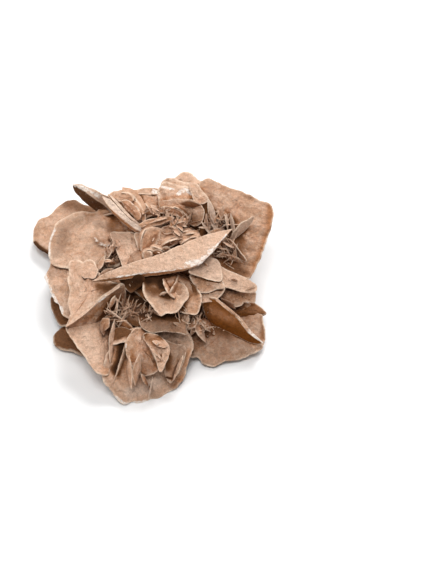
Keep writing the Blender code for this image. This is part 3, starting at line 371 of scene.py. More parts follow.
# What single plates show beyond their outline: tone (1 umber, -1 pale), cup (how far the rim curls towards the
# eye), ragged rims, depth of the swells.
looks = {
    "petal_front": {"rim": 1.5, "cup": 2.2, "tone": -0.35, "swell": 0.4, "warm": -0.2},
    "petal_east_low": {"cup": 1.4, "tone": 0.1, "swell": 0.5, "warm": 0.2},
    "petal_east_top": {"cup": 1.0, "tone": -0.8, "swell": 0.5},
    "petal_east_middle": {"tone": -0.2, "swell": 0.5},
    "petal_east_base": {"tone": -0.2, "swell": 0.5},
    # painted shade: the two west petals are toned dark where they lie under the long blade
    "petal_west_outer": {"tone": 0.9, "warm": 0.5, "rim": 0.3},
    "petal_west_inner": {"tone": 0.8, "warm": 0.5, "rim": 0.3},
    "long_blade": {"tone": -0.5, "ragged": 0.3, "swell": 0.4},
    # painted shade: front_shelf is toned dark, as it lies in shade under the petals
    "front_shelf": {"tone": 0.75, "cup": -0.6, "warm": -0.3, "rim": 0.45},
    "shadow_wall": {"tone": 0.6, "warm": -0.5, "rim": 0.3},
    "east_leaning_blade": {"warm": 1.3, "tone": 0.55, "ledges": 0, "swell": 0.4},
    "east_back_table": {"tone": 0.05, "swell": 2.6, "furrow": ((0.55, 0.83), 11.0, 0.9), "ragged": 0.7},
    "west_low_table": {"tone": 0.1, "swell": 2.0, "ragged": 0.35},
    "west_table": {"tone": 0.0, "swell": 2.8, "ragged": 0.6, "rim": 1.7},
    "west_ragged_table": {"tone": -0.3, "swell": 3.0, "ragged": 1.3},
    "roof_west_slope": {"rim": 1.5, "tone": -0.25, "swell": 2.2},
    "roof_front_slope": {"tone": 0.1, "ledges": 0, "swell": 1.0},
    "roof_apron": {"tone": -0.3, "swell": 1.3},
    "east_front_table": {"tone": 0.42, "swell": 1.6},
    "east_shelf": {"tone": -0.85},
    "east_under_shelf": {"tone": -0.3},
    "front_face": {"tone": -0.15},
    "front_leaf": {"tone": -0.2, "rim": 0.5, "swell": 0.3},
    "front_table": {"tone": -0.4, "swell": 2.2, "ragged": 0.8, "rim": 1.4},
    "crown_lobe_back": {"swell": 4.0, "cup": -2.0, "tone": -0.3, "rim": 1.5},
    "crown_lobe_middle": {"swell": 4.0, "cup": -2.0, "tone": -0.4, "furrow": ((0.95, 0.3), 7.0, 0.8), "rim": 1.6},
    "crown_lobe_front": {"swell": 4.0, "cup": -1.5, "tone": -0.5, "furrow": ((0.95, 0.3), 7.0, 0.8), "rim": 1.6},
    "crown_strip": {"tone": -0.2, "swell": 3.0},
    "north_table": {"swell": 3.4},
    # painted shade: the hidden table and the foot are toned dark, as they lie in the shade of the plates over them
    "west_hidden_table": {"tone": 1.1, "warm": 0.3},
    "west_foot": {"tone": 1.0, "warm": 0.5},
    "east_lens": {"tone": 0.9, "warm": 0.8},
    "heart_pink_petal": {"swell": 3.0, "wave": 2.0, "tone": -0.35, "warm": 0.15},
    "heart_hood": {"swell": 3.0, "tone": -0.25, "wave": 2.0, "rim": 1.5, "warm": 0.5},
    "heart_arch": {"swell": 3.0, "tone": -0.1, "wave": 2.0, "warm": 0.4},
    "heart_cover": {"tone": -0.3, "wave": 2.0, "warm": 0.45},
    "heart_west_petal": {"tone": -0.3},
    "heart_east_petal": {"tone": -0.3, "warm": 0.25},
    "heart_slip": {"tone": -0.3, "warm": 0.25}, "heart_knob": {"tone": -0.4, "swell": 3.0, "ragged": 0.8},
    "shell_ridge_top": {"tone": -0.2, "warm": 0.3, "swell": 2.5}, "shell_ridge_middle": {"tone": -0.2, "warm": 0.35},
    "shell_ridge_low": {"tone": -0.2, "warm": 0.35},
    "west_nest_wall": {"tone": -0.5}, "heart_back_plate": {"tone": 0.0, "warm": -0.35, "rim": 0.5},
    "west_slip": {"tone": -0.1, "rim": 0.35, "ragged": 0.8},
    "front_east_leaf": {"tone": 0.55, "warm": -0.35, "rim": 0.7},
    "apron_shelf": {"tone": 1.2, "rim": 0.5},
    "east_nest_wing": {"tone": -0.9}, "east_nest_wall": {"tone": -0.1},
    "apron_arch": {"tone": 0.1, "warm": 0.4},
}

# Where edges are broken to bare white crystal: chains on the sheet, and how far each reaches.
chipped = {
    "long_blade": (
        (((37.5, 42.2), (42, 46), (48.3, 52.4)), 3.6), (((29, 43), (33, 43.4), (38, 43.4)), 2.6),
        (((-24, 32.2), (-5, 35), (17, 37.5), (37, 42), (50, 55.4), (58, 64)), 0.6),
    ),
    "west_ragged_table": ((((-79, 34), (-77, 27), (-72, 17), (-66, 6)), 2.6),),
    "leaningEdge": ((((75, -8), (79, -12), (84.6, -17)), 1.6),),
    "front_table": ((((-25, -58), (-18, -63), (-10, -62), (-2, -61)), 1.0),),
    "west_table": ((((-41, 62), (-38, 57.5), (-31, 55.5), (-27, 57)), 0.7), (((-75, 46), (-75, 58), (-71, 68)), 0.9)),
    "horn": ((((-57, 101.5), (-50, 99), (-38, 93)), 1.6),),
    "roof_front_slope": ((((-62, -5), (-24, 24.4)), 0.5),),
    "front_face": ((((-17, -18), (-25, -40), (-28, -49)), 0.5),),
    "crown_lobe_front": ((((22, 95), (27, 98), (31, 95)), 1.6), (((9, 100), (18, 98)), 1.0)),
    "north_table": ((((3, 97), (9, 92), (13, 90)), 1.7),),
}

# Stains and painted shade: chains on the sheet, reach, tone, warmth. Some chains are real stains; those marked below
# paint shade, and one paints light.
stainsAndShade = {
    # painted shade: petal_front's first two chains, and the chains of petal_east_low, petal_east_middle and the two
    # west petals, darken the petals under the long blade, under the petal above and in petal_front's cup
    "petal_front": ((((-2, 32), (9, 31), (24, 31)), 7, 2.4, 0.3), (((-1, 24), (5, 22), (14, 23)), 7, 1.5, -0.3), (((8, 12), (16, 12)), 8, 0.25, 0),
                    (((10, 18), (15, 17)), 2.2, 1.6, 0.2)),
    "petal_east_low": ((((22, 27), (34, 25)), 8, 1.5, 0.3), (((24, 20), (26, 10)), 5, 0.5, 0.1)),
    "petal_east_top": ((((31, 34), (37, 31)), 4, 0.7, 0.0),),
    "petal_east_middle": ((((33, 33), (44, 31)), 6, 0.6, 0.0),),
    "petal_west_outer": ((((-20, 30), (-8, 30)), 10, 1.5, 0.5),),
    "petal_west_inner": ((((-13, 30), (0, 28)), 10, 1.6, 0.5),),
    "apron_shelf": ((((-28, -19), (-21, -17.6), (-16, -16.5)), 4.5, -2.6, -0.4),),
    # painted shade: the first chain darkens the slope under the long blade
    "roof_west_slope": ((((-38, 25.5), (-30, 24), (-24, 25)), 6, 1.5, 0.3), (((-44, 12), (-34, 20)), 4, 0.3, 0.0)),
    "roof_front_slope": ((((-30, 12), (-22, 20)), 8, 0.7, 0.1),),
    # painted shade: the second chain darkens the notch at the table's west end
    "east_front_table": ((((38, 0), (50, -4), (58, -8)), 9, 0.9, 0.4), (((28, 4), (31, -2), (29, -9)), 5, 2.2, 0.2), (((86, 2), (86, -12)), 4, 0.6, 0.6)),
    "east_leaning_blade": ((((46, 8), (62, 0)), 5, -0.2, -0.4), (((46, -3), (60, -8), (80, -16)), 6, 0.6, 0.4)),
    "long_blade": ((((-40, 29), (-22, 34), (-8, 40)), 6, 0.6, 0.0), (((24, 52), (25, 54)), 2.4, 1.0, 0.0)),
    "west_table": ((((-26, 66), (-28, 74)), 7, 0.8, 0.4), (((-36, 58), (-42, 62)), 4, 0.3, 0.0), (((-68, 52), (-64, 66)), 9, 0.55, -0.3),
                   (((-41, 60), (-38, 56), (-31, 54), (-27, 55.5)), 1.3, 0.9, -0.3), (((-38, 72), (-30, 68)), 5, 0.4, -0.5)),
    # painted shade: the second chain darkens the underside of the rim
    "west_low_table": ((((-60, 88), (-46, 82), (-40, 78)), 9, 0.9, -0.4), (((-86, 58), (-81, 53), (-72, 47)), 2.6, 2.0, 0.0)),
    # painted shade: the first three chains darken the table round and behind the east nest's blades
    "east_back_table": ((((60, 62), (62, 46), (66, 36)), 12, 0.8, 0.3), (((44, 66), (54, 72), (62, 66)), 9, 1.9, 0.2), (((41, 88), (46, 79), (54, 76), (62, 72)), 6, 1.3, 0.3), (((91, 84), (90, 66), (80, 38)), 5, 0.2, 0.9)),
    # painted shade: the first chain darkens the table under the apron's shelf and along the apron's edge; painted
    # light: the last chain lightens the table where the blades over it shade it
    "front_table": ((((-17, -12), (-21, -18), (-22, -30), (-25, -38)), 6, 2.8, 0.0),
                    (((20, -50), (28, -40), (31, -24)), 5, 0.3, 0.8), (((14, -34), (20, -42)), 5, 0.7, 0.2),
                    (((-30, -54), (-20, -62), (-2, -62)), 5, -0.3, 0.3), (((-16, -54), (-2, -52), (6, -46)), 8, -0.7, 0.1)),
    "front_face": ((((-12, -32), (-4, -36)), 8, 0.4, 0.0),),
    # painted shade: the dark chains darken the gaps between the leaf's ribs and the strip under the shelf
    "front_leaf": ((((1.6, -20.5), (5.3, -16.4), (8.7, -15.6), (14.2, -18.6)), 0.5, -0.8, 0), (((2.6, -22), (9.2, -25.8)), 0.4, -0.8, 0),
                   (((2.6, -19.6), (4.2, -17.8)), 0.6, 1.8, 0.3), (((5.6, -28.4), (10.6, -28.2)), 0.4, -0.7, 0),
                   (((6.8, -32.6), (10.8, -32.2)), 0.4, -0.7, 0), (((6.5, -17.4), (12.8, -18.6)), 0.9, 2.4, 0.3), (((2.6, -23.2), (8.7, -26.9)), 1.1, 2.4, 0.3),
                   (((-3, -12), (2, -15), (8, -13)), 4.5, 1.0, 0.8), (((-5, -11.4), (0, -9.4), (6, -11), (10, -13.6)), 1.8, 0.9, 0.3), (((6.6, -31.4), (9.6, -30.6)), 0.6, 1.8, 0.3)),
    # painted shade: both chains darken the leaf's inside and a notch in it
    "front_east_leaf": ((((14, -28), (14, -36)), 5, 0.9, 0.0), (((13, -43), (17, -44)), 1.4, 1.8, 0.4)),
    "roof_apron": ((((-30, -36), (-33, -42)), 6, 0.3, 0.6), (((-28, -8), (-27, -26)), 5, 0.6, 0.0),
                   (((-48, -12), (-38, -28)), 9, -0.5, 0.0)),
    "east_lens": ((((66, 3), (84, 3)), 3, 0.6, 0.6),),
    # painted shade: the first chain is the shadow below the west petals
    "shadow_wall": ((((-24, 24), (-14, 18), (-4, 14), (4, 8)), 4.5, 2.4, 0.4), (((-16, -2), (-4, -4)), 4, 0.8, 0.0)),
    # painted shade: darker where the shelf runs into the wall behind it
    "front_shelf": ((((-6, 4), (8, 4), (22, 4)), 5, 1.6, 0.2),),
    "crown_lobe_front": ((((8, 90), (20, 93), (34, 92)), 2.5, 0.4, 0.6),),
    "north_table": ((((-10, 84), (2, 80)), 8, 0.6, 0.4),),
    "heart_back_plate": ((((20, 76), (34, 74)), 5, 0.4, 0.0), (((10, 88), (24, 86)), 5, 0.2, 0.4)),
}

# Crystals that the fine model sets a little otherwise than the solid: three lifted points of a plate's face, and
# the width of a blade.
shifted = {
    "west_slip": ((-50, 34, 47.6), (-44, 41, 48.6), (-40, 32, 51.3)),
    "apron_shelf": ((-27, -18.5, 33), (-15, -16, 34), (-22, -6, 36)),
    "petal_west_inner": ((-8, 19.5, 46), (-2, 14, 45), (-6, 31, 52)),
}
recut = {
    0: None, 3: ((-0.8, -60, 8), (2.6, -42, 22), 7, 80, 1.2, -1.1),
    8: ((-29.4, -33, 26), (-26, 1, 40), 10, 64, 2.0, -0.5), 1: ((-13.4, -52, 17), (-15.2, -26, 36), 8, -64, 2.4),
    2: ((-10.6, -49.5, 18), (-7.4, -25, 36), 10, 56, 2.4), 21: None, 22: None,
    15: ((42.6, -17, 17), (33.4, 0.5, 33), 9, 56, 2, 0.1), 23: None,
    11: ((-30, 8, 41), (-25.6, 18.6, 50), 3.4, 20, 1.4, 0.1), 12: ((-25, 4, 41), (-23.4, 16, 50), 2.6, -60, 1.2, 0.1),
    13: ((-31, 4, 38), (-22, 8, 43), 2.4, -50, 1.2, 0.1), 14: ((-33, 9, 42), (-21, 1, 44), 3, 60, 1.2, 0.1),
    29: ((22, 87.3, 71), (39.5, 86, 73), 9, 62, 1.8, 0.5, 0.6), 30: ((49.8, 69, 59), (43.8, 92, 78), 4.6, 24, 1.8, -1.2), 31: ((64, 63, 58), (60.9, 80.4, 75), 4.6, -50, 1.4, -1.0), 38: None,
    32: ((46, 64, 62), (42, 78, 74), 2.8, -40, 1.2, -1.0), 33: ((52, 64.5, 61), (44.5, 76.5, 74), 3, 35, 1.2, -1.1),
    34: ((51.5, 66, 61), (46.3, 81, 75), 3.4, -30, 1.4, -1.1), 35: ((48, 62.5, 62), (38.8, 74, 72), 2.8, 35, 1.2, -1.1),
    36: ((59, 67, 60), (57.2, 80.5, 72), 3.4, 50, 1.2, -1.0),
    24: ((7.6, 18.6, 54.5), (13.6, 21, 57), 3.4, 50, 1.4),
}

# Bars with flat sides: their corner lines in order round the section, each a chain of lifted points; tone of each side,
# the top pale and the others darker, painted light and painted shade; chips.
bars = {
    "ridge": (
        [[(-62.2, -3.6, 39), (-50, 5.4, 43.2), (-38, 16.6, 48.2), (-30, 21.8, 51.8), (-22, 27.6, 55.6)],
         [(-62.4, -5.4, 38.8), (-50, 2.9, 42.8), (-38, 13.7, 47.8), (-30, 19.1, 51.3), (-22, 24.8, 55)],
         [(-62.2, -6, 36.5), (-50, 1.8, 39.5), (-38, 12.6, 44.5), (-30, 18, 48), (-22, 23.8, 52)],
         [(-62, -4.5, 36), (-50, 4, 39), (-38, 15.2, 44), (-30, 20.5, 48), (-22, 26, 52)]],
        (-0.75, 0.2, 0.5, 0.3), (0.1, 0.3, 0.3, 0.3), 0.3, 0.3),
    "leaningEdge": (
        [[(50.2, 16.4, 49.4), (56.4, 12, 43.6), (66.4, 3.8, 34.5), (72.6, -3.4, 28.5), (78, -9.6, 23),
          (85.6, -16.8, 18.4)],
         [(49.8, 14.6, 49.2), (55.4, 9.8, 43.2), (65, 1.6, 34), (70.6, -5.4, 28), (76.4, -11.8, 22.6),
          (85.4, -17.6, 18)],
         [(50, 14.8, 47), (55.4, 10, 41), (65, 2, 32), (70.6, -5, 26), (76.4, -11.4, 20.6), (85.2, -17.4, 16.4)],
         [(50.4, 16, 47), (56, 11.4, 41), (66, 3.2, 32), (72, -4, 26), (77.6, -10.2, 20.6),
          (85.4, -17, 16.4)]], (-0.45, 0.3, 0.5, 0.5), (0.4, 1.0, 0.6, 0.3), 0.0, 0.55),
    "horn": (
        [[(-57.4, 101.9, 71), (-52.3, 102.3, 70.5), (-46, 99.9, 68.5), (-40, 97.8, 66.5), (-35.5, 95.3, 64),
          (-30, 92.5, 61), (-22, 86, 50)],
         [(-57.5, 101.6, 71), (-54, 100.2, 70.2), (-50, 97.4, 68), (-45, 93.6, 65), (-39.5, 89.6, 60),
          (-34, 86, 53), (-27, 79, 42)],
         [(-57.6, 101.2, 70), (-57, 98, 66), (-55.5, 95, 62.5), (-51.5, 90.8, 57), (-47, 86.6, 51),
          (-43, 83, 46), (-35, 76, 39)],
         [(-57.5, 101.6, 70), (-53, 99, 64), (-49, 96, 59), (-43, 91, 53), (-37, 88, 47), (-31, 84, 42),
          (-26, 79, 39)]], (-0.85, 1.5, 1.3, 0.3), (0, 0.1, 0, 0), 0.3),
    "longBlade": (
        [[(-43, 29.2, 60), (-33, 35.3, 62), (-20, 40.8, 64), (-6, 45.6, 66), (8, 49.8, 67.5), (22, 55.8, 69),
          (34, 61.3, 70), (44, 64.3, 70.5), (53, 66.8, 71), (62.3, 68.6, 72)],
         [(-43.2, 28.9, 60), (-34.2, 30.6, 60.5), (-24.2, 32.1, 61), (-14.2, 33.6, 61.7), (-5.8, 35, 62.5),
          (7.5, 36.3, 63.5), (20.8, 37.6, 64.5), (29.2, 39.2, 65.5), (37.5, 42.1, 66.5), (42.5, 46.3, 68),
          (48.3, 52.1, 69.5), (54.2, 60, 71), (62.3, 68.2, 72)],
         [(-43, 28.6, 59.6), (-34.2, 28.5, 58.6), (-24.2, 29.4, 58.4), (-14.2, 30.6, 58.6), (-5.8, 31.7, 59),
          (7.5, 33.5, 60.4), (20.8, 35.6, 62), (29.2, 37.8, 63.6), (37.5, 40.9, 65), (42.3, 45, 66.6),
          (48.3, 51.2, 68.4), (54.2, 59.3, 70.2), (62.3, 68, 71.6)],
         [(-42.8, 28.9, 59.4), (-33, 33, 58), (-20, 38, 59), (-6, 43, 61), (8, 47, 62.5), (22, 53, 64.5),
          (34, 58, 66), (44, 62, 67.5), (53, 65, 69), (62.2, 68.3, 71.4)]], (-0.75, 0.5, 1.1, 0.3), (0, 0.9, 0.6, 0.2), 0.0, 0.55),
    "plankWest": (
        [[(-35.4, 93, 77), (-31, 91.6, 76), (-27.5, 89.2, 75), (-23.3, 84.6, 73), (-18.3, 79.2, 70.5),
          (-13.3, 75, 68), (-6, 69.5, 63)],
         [(-35.5, 92.7, 77), (-34.2, 90, 76), (-30, 84.4, 73.5), (-24.2, 79.2, 71), (-17.5, 73.3, 67.5),
          (-10.8, 68.3, 64), (-5.5, 65.5, 61)],
         [(-35.4, 92.4, 76), (-33.6, 88.2, 73), (-30, 83, 69.5), (-24.8, 77.4, 66.5), (-18.2, 71, 63),
          (-11.5, 66.2, 60), (-6, 64, 58)],
         [(-35.3, 92.9, 75), (-31, 89.5, 71), (-27, 86, 67), (-22, 81, 64), (-16, 75.5, 60), (-11, 71, 57),
          (-6, 67, 55)]], (-1.35, 0.1, 0.7, 0.3), (0, 0.9, 0.8, 0.3), 0.35),
    "plankEast": (
        [[(-31.4, 95.2, 75), (-27.5, 92.8, 73.5), (-22.5, 87.5, 71), (-17.5, 81.9, 68), (-12.5, 76.9, 65),
          (-7, 72, 61)],
         [(-31.5, 94.8, 75), (-28.8, 91.6, 73.5), (-24.2, 86, 71), (-19, 80.2, 67.5), (-14, 75.6, 64.5),
          (-8, 71, 60.5)],
         [(-31.5, 94.4, 74), (-28.8, 90.6, 70), (-24, 85, 66), (-19, 79, 62), (-14, 74, 59), (-8, 70, 56)],
         [(-31.3, 94.9, 73), (-26, 90, 67), (-21, 85, 63), (-16, 80, 60), (-11, 75, 57), (-7, 71, 55)]], (-1.2, 0.3, 0.7, 0.3), (0, 0.9, 0.8, 0.3), 0.3),
}

# Curls: winding lines on the sheet, tone, and how far the sheet leans aside.
curls = (
    (((-6.3, 52.4), (-5.8, 61), (-3.9, 66.4), (0, 68.9), (5.6, 69.6), (9.6, 70.8), (14.6, 75), (17.6, 76)), -0.4, 0.3),
    (((-4.5, 70), (0.9, 72.7), (8.4, 75), (14.1, 76.2), (18.2, 73.6)), -0.3, 0.2),
    (((-8.5, 72.4), (-1.9, 76.1), (4.7, 79.4), (8.2, 78.4)), -0.5, 0.5),
    (((6, 82.6), (10.3, 84.5), (15, 83.6), (19.7, 84.2), (24.4, 81.8), (28, 77.6)), 0.3, 0.3),
    (((2.6, 59), (5.4, 64.9), (8.6, 68.4), (14.1, 70.3), (18.2, 69), (16.6, 65)), -0.5, 0.1),
    (((7.6, 54.4), (12.2, 57.4), (17.8, 59.7), (24.6, 61)), -0.5, 0.6),
    (((23.6, 56.4), (28.1, 59.9), (33.4, 61.9), (37, 61.2)), -0.4, 0.6),
    (((17.2, 69.6), (22, 72.7), (28.2, 73.9)), -0.3, 0.4),
    (((0, 52.5), (2.8, 54.6), (6.6, 53.6), (11.6, 51.4)), -0.4, 0.3),
    (((-5, 46.6), (-4.4, 50.6), (-1.2, 52.6), (3.6, 51.6), (7.8, 50)), -0.6, 0.2),
    (((23.6, 65.4), (30, 66.8), (38, 67.4)), -0.5, 0.3),
    (((24, 62.9), (30, 64.7), (38, 65.1)), -0.4, 0.3),
    (((7.8, 66.8), (12.2, 64.7), (16.9, 65.4), (20.6, 62.8), (24, 61)), -0.1, -0.3),
    (((5.2, 62), (9.4, 60), (13.6, 59.6), (16.6, 57.4)), 0.1, -0.3),
    (((-20.8, 95.4), (-15, 94.4), (-11.2, 91.1), (-7.3, 85.3), (-5, 79.2)), -0.2, 0.8, 1.0),
    (((-4, 88.6), (-1.5, 85), (2.5, 82.4), (6.5, 80.4)), 0.0, 0.3),
    (((-4.6, -12.4), (-1.4, -17.4), (1.7, -22.7), (5.8, -31.8), (7.9, -38.4)), -0.7, 0.35, 1.0),
    (((-9, -6.4), (-13.4, -9.4), (-16.7, -14), (-20.4, -26), (-24.2, -37.7), (-28.3, -49.3)), -0.5, 0.5, 3.5),
    (((-21.8, 29.4), (-18, 23.5), (-13.4, 20.4)), 0.1, 0.3, 1.5), (((-15.4, 26.6), (-8, 18.6), (-1.6, 13.8)), 0.2, 0.3, 1.5),
    (((9.9, 30.8), (11.1, 25.5), (13.6, 20.5), (18.9, 16.4)), -0.1, 0.45, 5.0),
    (((21.4, 33.6), (19.1, 28), (15.6, 22), (14.6, 19.4), (18.9, 16)), 0.2, 0.5, 5.0),
    (((36.6, -0.4), (39.4, -6), (43.6, -12.6)), -0.1, 0.4), (((38.6, 0), (43.2, -4), (46.8, -8.2)), 0, 0.4),
    (((33.2, 0.8), (39, 4.4), (44.4, 5.8)), 0.1, 0.3),
    (((30.6, 4), (29.4, -2), (28, -8)), 0, 0.3), (((33.4, 2), (34, -5), (37, -11)), -0.1, 0.3),
)

# More needles than the solid carries: middle (lifted), radii on the sheet, count, length, lean, seed.
moreNests = (
    ((22, 72, 65), (11, 5), 40, 9, (0.2, 0.6), 31),
    ((9, 80, 64), (8, 4), 18, 7, (0.0, 0.4), 32),
    ((58, 50, 50), (7, 9), 40, 11, (-0.1, 0.5), 33, 0.3, 0.5),
    ((50, 72, 60), (10, 6), 26, 14, (0.0, 0.8), 34, -0.4, 0.8),
    ((-28, 50, 48), (5, 9), 28, 9, (0.0, 0.5), 35),
    ((-22, 6, 40), (12, 8), 44, 12, (0.0, 0.6), 36, 0.4, 0.45),
    ((-3, 4, 42), (9, 6), 20, 9, (0.0, 0.6), 37, 0.6, 0.4),
    ((42, -2, 26), (7, 7), 34, 8, (0.1, 0.5), 38, 0.3, 0.5),
    ((27, 1, 33), (7, 7), 24, 10, (0.0, 0.6), 39, 0.5, 0.5),
)


def unit(v):
    return v / np.linalg.norm(v)


# The point at each height that the eye sees at (across, up): the eye's ray, cut at that height.
def lift(a, b, height):
    ray = np.multiply.outer(a, across) + np.multiply.outer(b, up) - eye
    return eye + ray * ((height - eye[2]) / ray[..., 2])[..., None]


# The other way round: where the eye sees a point on the sheet.
def onSheet(points):
    offset = points - eye
    share = -sheet["eyeOut"] / (offset @ out)
    return sheet["eyeAcross"] + (offset @ across) * share, sheet["eyeUp"] + (offset @ up) * share


def smoothStep(low, high, x):
    t = np.clip((x - low) / (high - low), 0, 1)
    return t * t * (3 - 2 * t)


# Noise between -1 and 1: a random height at each corner of a cubic lattice, blended smoothly between corners.
def noise(points, wave, seed=0):
    place = np.asarray(points, float) / wave + seed * 7.31 + 500.5
    cell = np.floor(place)
    f = place - cell
    f = f * f * (3 - 2 * f)
    cell = cell.astype(np.int64)
    total = 0
    for corner in range(8):
        step = np.array([corner & 1, corner >> 1 & 1, corner >> 2 & 1])
        x, y, z = np.moveaxis(cell + step, -1, 0)
        mixed = (x * 374761393 + y * 668265263 + z * 2147483647 + 1013904223) & 0xFFFFFFFF
        mixed = ((mixed ^ (mixed >> 13)) * 1274126177) & 0xFFFFFFFF
        height = ((mixed ^ (mixed >> 16)) & 0xFFFF) / 32767.5 - 1
        total = total + height * np.prod(np.where(step, f, 1 - f), axis=-1)
    return total


def fractal(points, wave, octaves, seed=0):
    return sum(noise(points, wave / 2 ** k, seed + k) / 2 ** k for k in range(octaves))


# A smooth curve through the corners, each stretch a cubic that leaves and enters along the neighbours' line,
# then points set at equal steps along it. It gives the points and the curve's length.
def curveThrough(corners, count, closed):
    p = np.array(corners, float)
    if closed:
        before, after, later = np.roll(p, 1, 0), np.roll(p, -1, 0), np.roll(p, -2, 0)
    else:
        padded = np.vstack([p[:1], p, p[-1:]])
        before, p, after, later = padded[:-3], padded[1:-2], padded[2:-1], padded[3:]
    t = (np.arange(24) / 24)[None, :, None]
    before, p, after, later = (v[:, None] for v in (before, p, after, later))
    curve = 0.5 * (2 * p + (after - before) * t + (2 * before - 5 * p + 4 * after - later) * t ** 2
                   + (3 * p - before - 3 * after + later) * t ** 3)
    curve = curve.reshape(-1, curve.shape[-1])
    chain = np.vstack([curve, curve[:1] if closed else np.array(corners[-1:], float)])
    run = np.concatenate([[0], np.cumsum(np.linalg.norm(np.diff(chain, axis=0), axis=1))])
    wanted = np.linspace(0, run[-1], count, endpoint=not closed)
    return np.stack([np.interp(wanted, run, chain[:, k]) for k in range(chain.shape[1])], axis=1), run[-1]


# The point of a flat outline that sees the whole rim with most to spare: of a grid of tries, the one whose
# smallest distance to the edges' own lines, on their inner side, is largest.
def seesAll(flat):
    edges = np.roll(flat, -1, 0) - flat
    if np.sum(flat[:, 0] * np.roll(flat[:, 1], -1) - np.roll(flat[:, 0], -1) * flat[:, 1]) < 0:
        edges = -edges
    inward = np.stack([-edges[:, 1], edges[:, 0]], 1) / (np.linalg.norm(edges, axis=1)[:, None] + 1e-9)
    low, high = flat.min(0), flat.max(0)
    tries = np.stack(np.meshgrid(*[np.linspace(low[k], high[k], 44) for k in (0, 1)]), -1).reshape(-1, 2)
    room = ((tries[:, None] - flat[None]) * inward[None]).sum(-1).min(1)
    return tries[room.argmax()]


# Nothing goes below the flat underside; this much keeps it clear of the floor's own face.
groundGap = 0.03


class Region:
    # Skins gathered for one piece. A skin is a stack of rings between two poles, given as one array.
    def __init__(self, name):
        self.name = name
        self.points = []
        self.faces = []
        self.marks = {"fromRim": [], "chip": [], "tone": [], "warm": []}
        self.count = 0

    def take(self, rings, poles, **marks):
        rows, columns = rings.shape[:2]
        across1 = np.roll(rings, -1, 1)[:-1] - rings[1:]
        across2 = np.roll(rings, -1, 1)[1:] - rings[:-1]
        middles = (rings[:-1] + rings[1:]) / 2 - rings.mean((0, 1))
        if np.sum(middles * np.cross(across2, across1)) > 0:
            rings = rings[:, ::-1]
            marks = {k: v if np.ndim(v) == 0 else v[:, ::-1] for k, v in marks.items()}
        self.points += [rings.reshape(-1, 3), np.array(poles)]
        index = self.count + np.arange(rows * columns).reshape(rows, columns)
        turned = np.roll(index, -1, 1)
        quads = np.stack([index[:-1], turned[:-1], turned[1:], index[1:]], -1).reshape(-1, 4)
        first, last = self.count + rows * columns, self.count + rows * columns + 1
        none = np.full(columns, -1)
        cap = np.stack([turned[0], index[0], np.full(columns, first), none], -1)
        base = np.stack([index[-1], turned[-1], np.full(columns, last), none], -1)
        self.faces += [quads, cap, base]
        for key, kept in self.marks.items():
            given = marks.get(key, 0.0)
            if np.ndim(given) == 0:
                kept.append(np.full(rows * columns + 2, float(given)))
            else:
                kept += [given.reshape(-1), [given[0].mean(), given[-1].mean()]]
        self.count += rows * columns + 2

    def arrays(self):
        points = np.concatenate(self.points)
        points[:, 2] = np.maximum(points[:, 2], groundGap)
        return points, np.concatenate(self.faces)


# A vertex normal is the sum of its faces' own, each as long as the face is large.
def normalsOf(points, faces):
    a, b, c = points[faces[:, 0]], points[faces[:, 1]], points[faces[:, 2]]
    d = np.where(faces[:, 3:] < 0, a, points[faces[:, 3]])
    face = np.cross(c - a, d - b)
    face[faces[:, 3] < 0] = np.cross(b - a, c - a)[faces[:, 3] < 0]
    corner = faces.reshape(-1)
    share = np.repeat(face, 4, axis=0)[corner >= 0]
    corner = corner[corner >= 0]
    total = np.stack([np.bincount(corner, share[:, k], len(points)) for k in range(3)], 1)
    return total / (np.linalg.norm(total, axis=1)[:, None] + 1e-12)


# How closed in each point is: the rose is marked in a grid of cells, and from each point lines go out along
# many directions; a line that meets a marked cell sees no sky. Each counts by its cosine to the normal.
hollows = {"cell": 1.0, "reach": 112.0, "directions": 36, "start": 1.2,
           "steps": (0.9, 1.8, 2.8, 4.0, 5.5, 7.5, 10.0, 13.5, 18.0, 24.0, 32.0)}


def markCells(gathered):
    side = int(2 * hollows["reach"] / hollows["cell"])
    cells = np.zeros((side, side, side), bool)
    for points, faces in gathered:
        a, b, c = points[faces[:, 0]], points[faces[:, 1]], points[faces[:, 2]]
        d = np.where(faces[:, 3:] < 0, a, points[faces[:, 3]])
        for u in (0.0, 0.25, 0.5, 0.75):
            for v in (0.0, 0.25, 0.5, 0.75):
                spot = (a * (1 - u) + b * u) * (1 - v) + (d * (1 - u) + c * u) * v
                x, y, z = ((spot + hollows["reach"]) / hollows["cell"]).astype(int).T
                cells[x, y, z] = True
    return cells


def hollowness(points, normals, cells):
    seen = np.zeros(len(points))
    weight = np.zeros(len(points)) + 1e-9
    count = hollows["directions"]
    for k in range(count):
        z = 1 - 2 * (k + 0.5) / count
        turn = k * math.pi * (3 - math.sqrt(5))
        way = np.array([math.sqrt(1 - z * z) * math.cos(turn), math.sqrt(1 - z * z) * math.sin(turn), z])
        share = np.maximum(normals @ way, 0) * (1.0 if z > -0.2 else 0.3)
        chosen = np.nonzero(share > 0.05)[0]
        start = points[chosen] + normals[chosen] * hollows["start"]
        free = np.ones(len(chosen), bool)
        for step in hollows["steps"]:
            spot = ((start + way * step + hollows["reach"]) / hollows["cell"]).astype(int)
            x, y, z2 = np.clip(spot, 0, cells.shape[0] - 1).T
            free &= ~cells[x, y, z2]
        seen[chosen] += share[chosen] * free
        weight[chosen] += share[chosen]
    return 1 - seen / weight


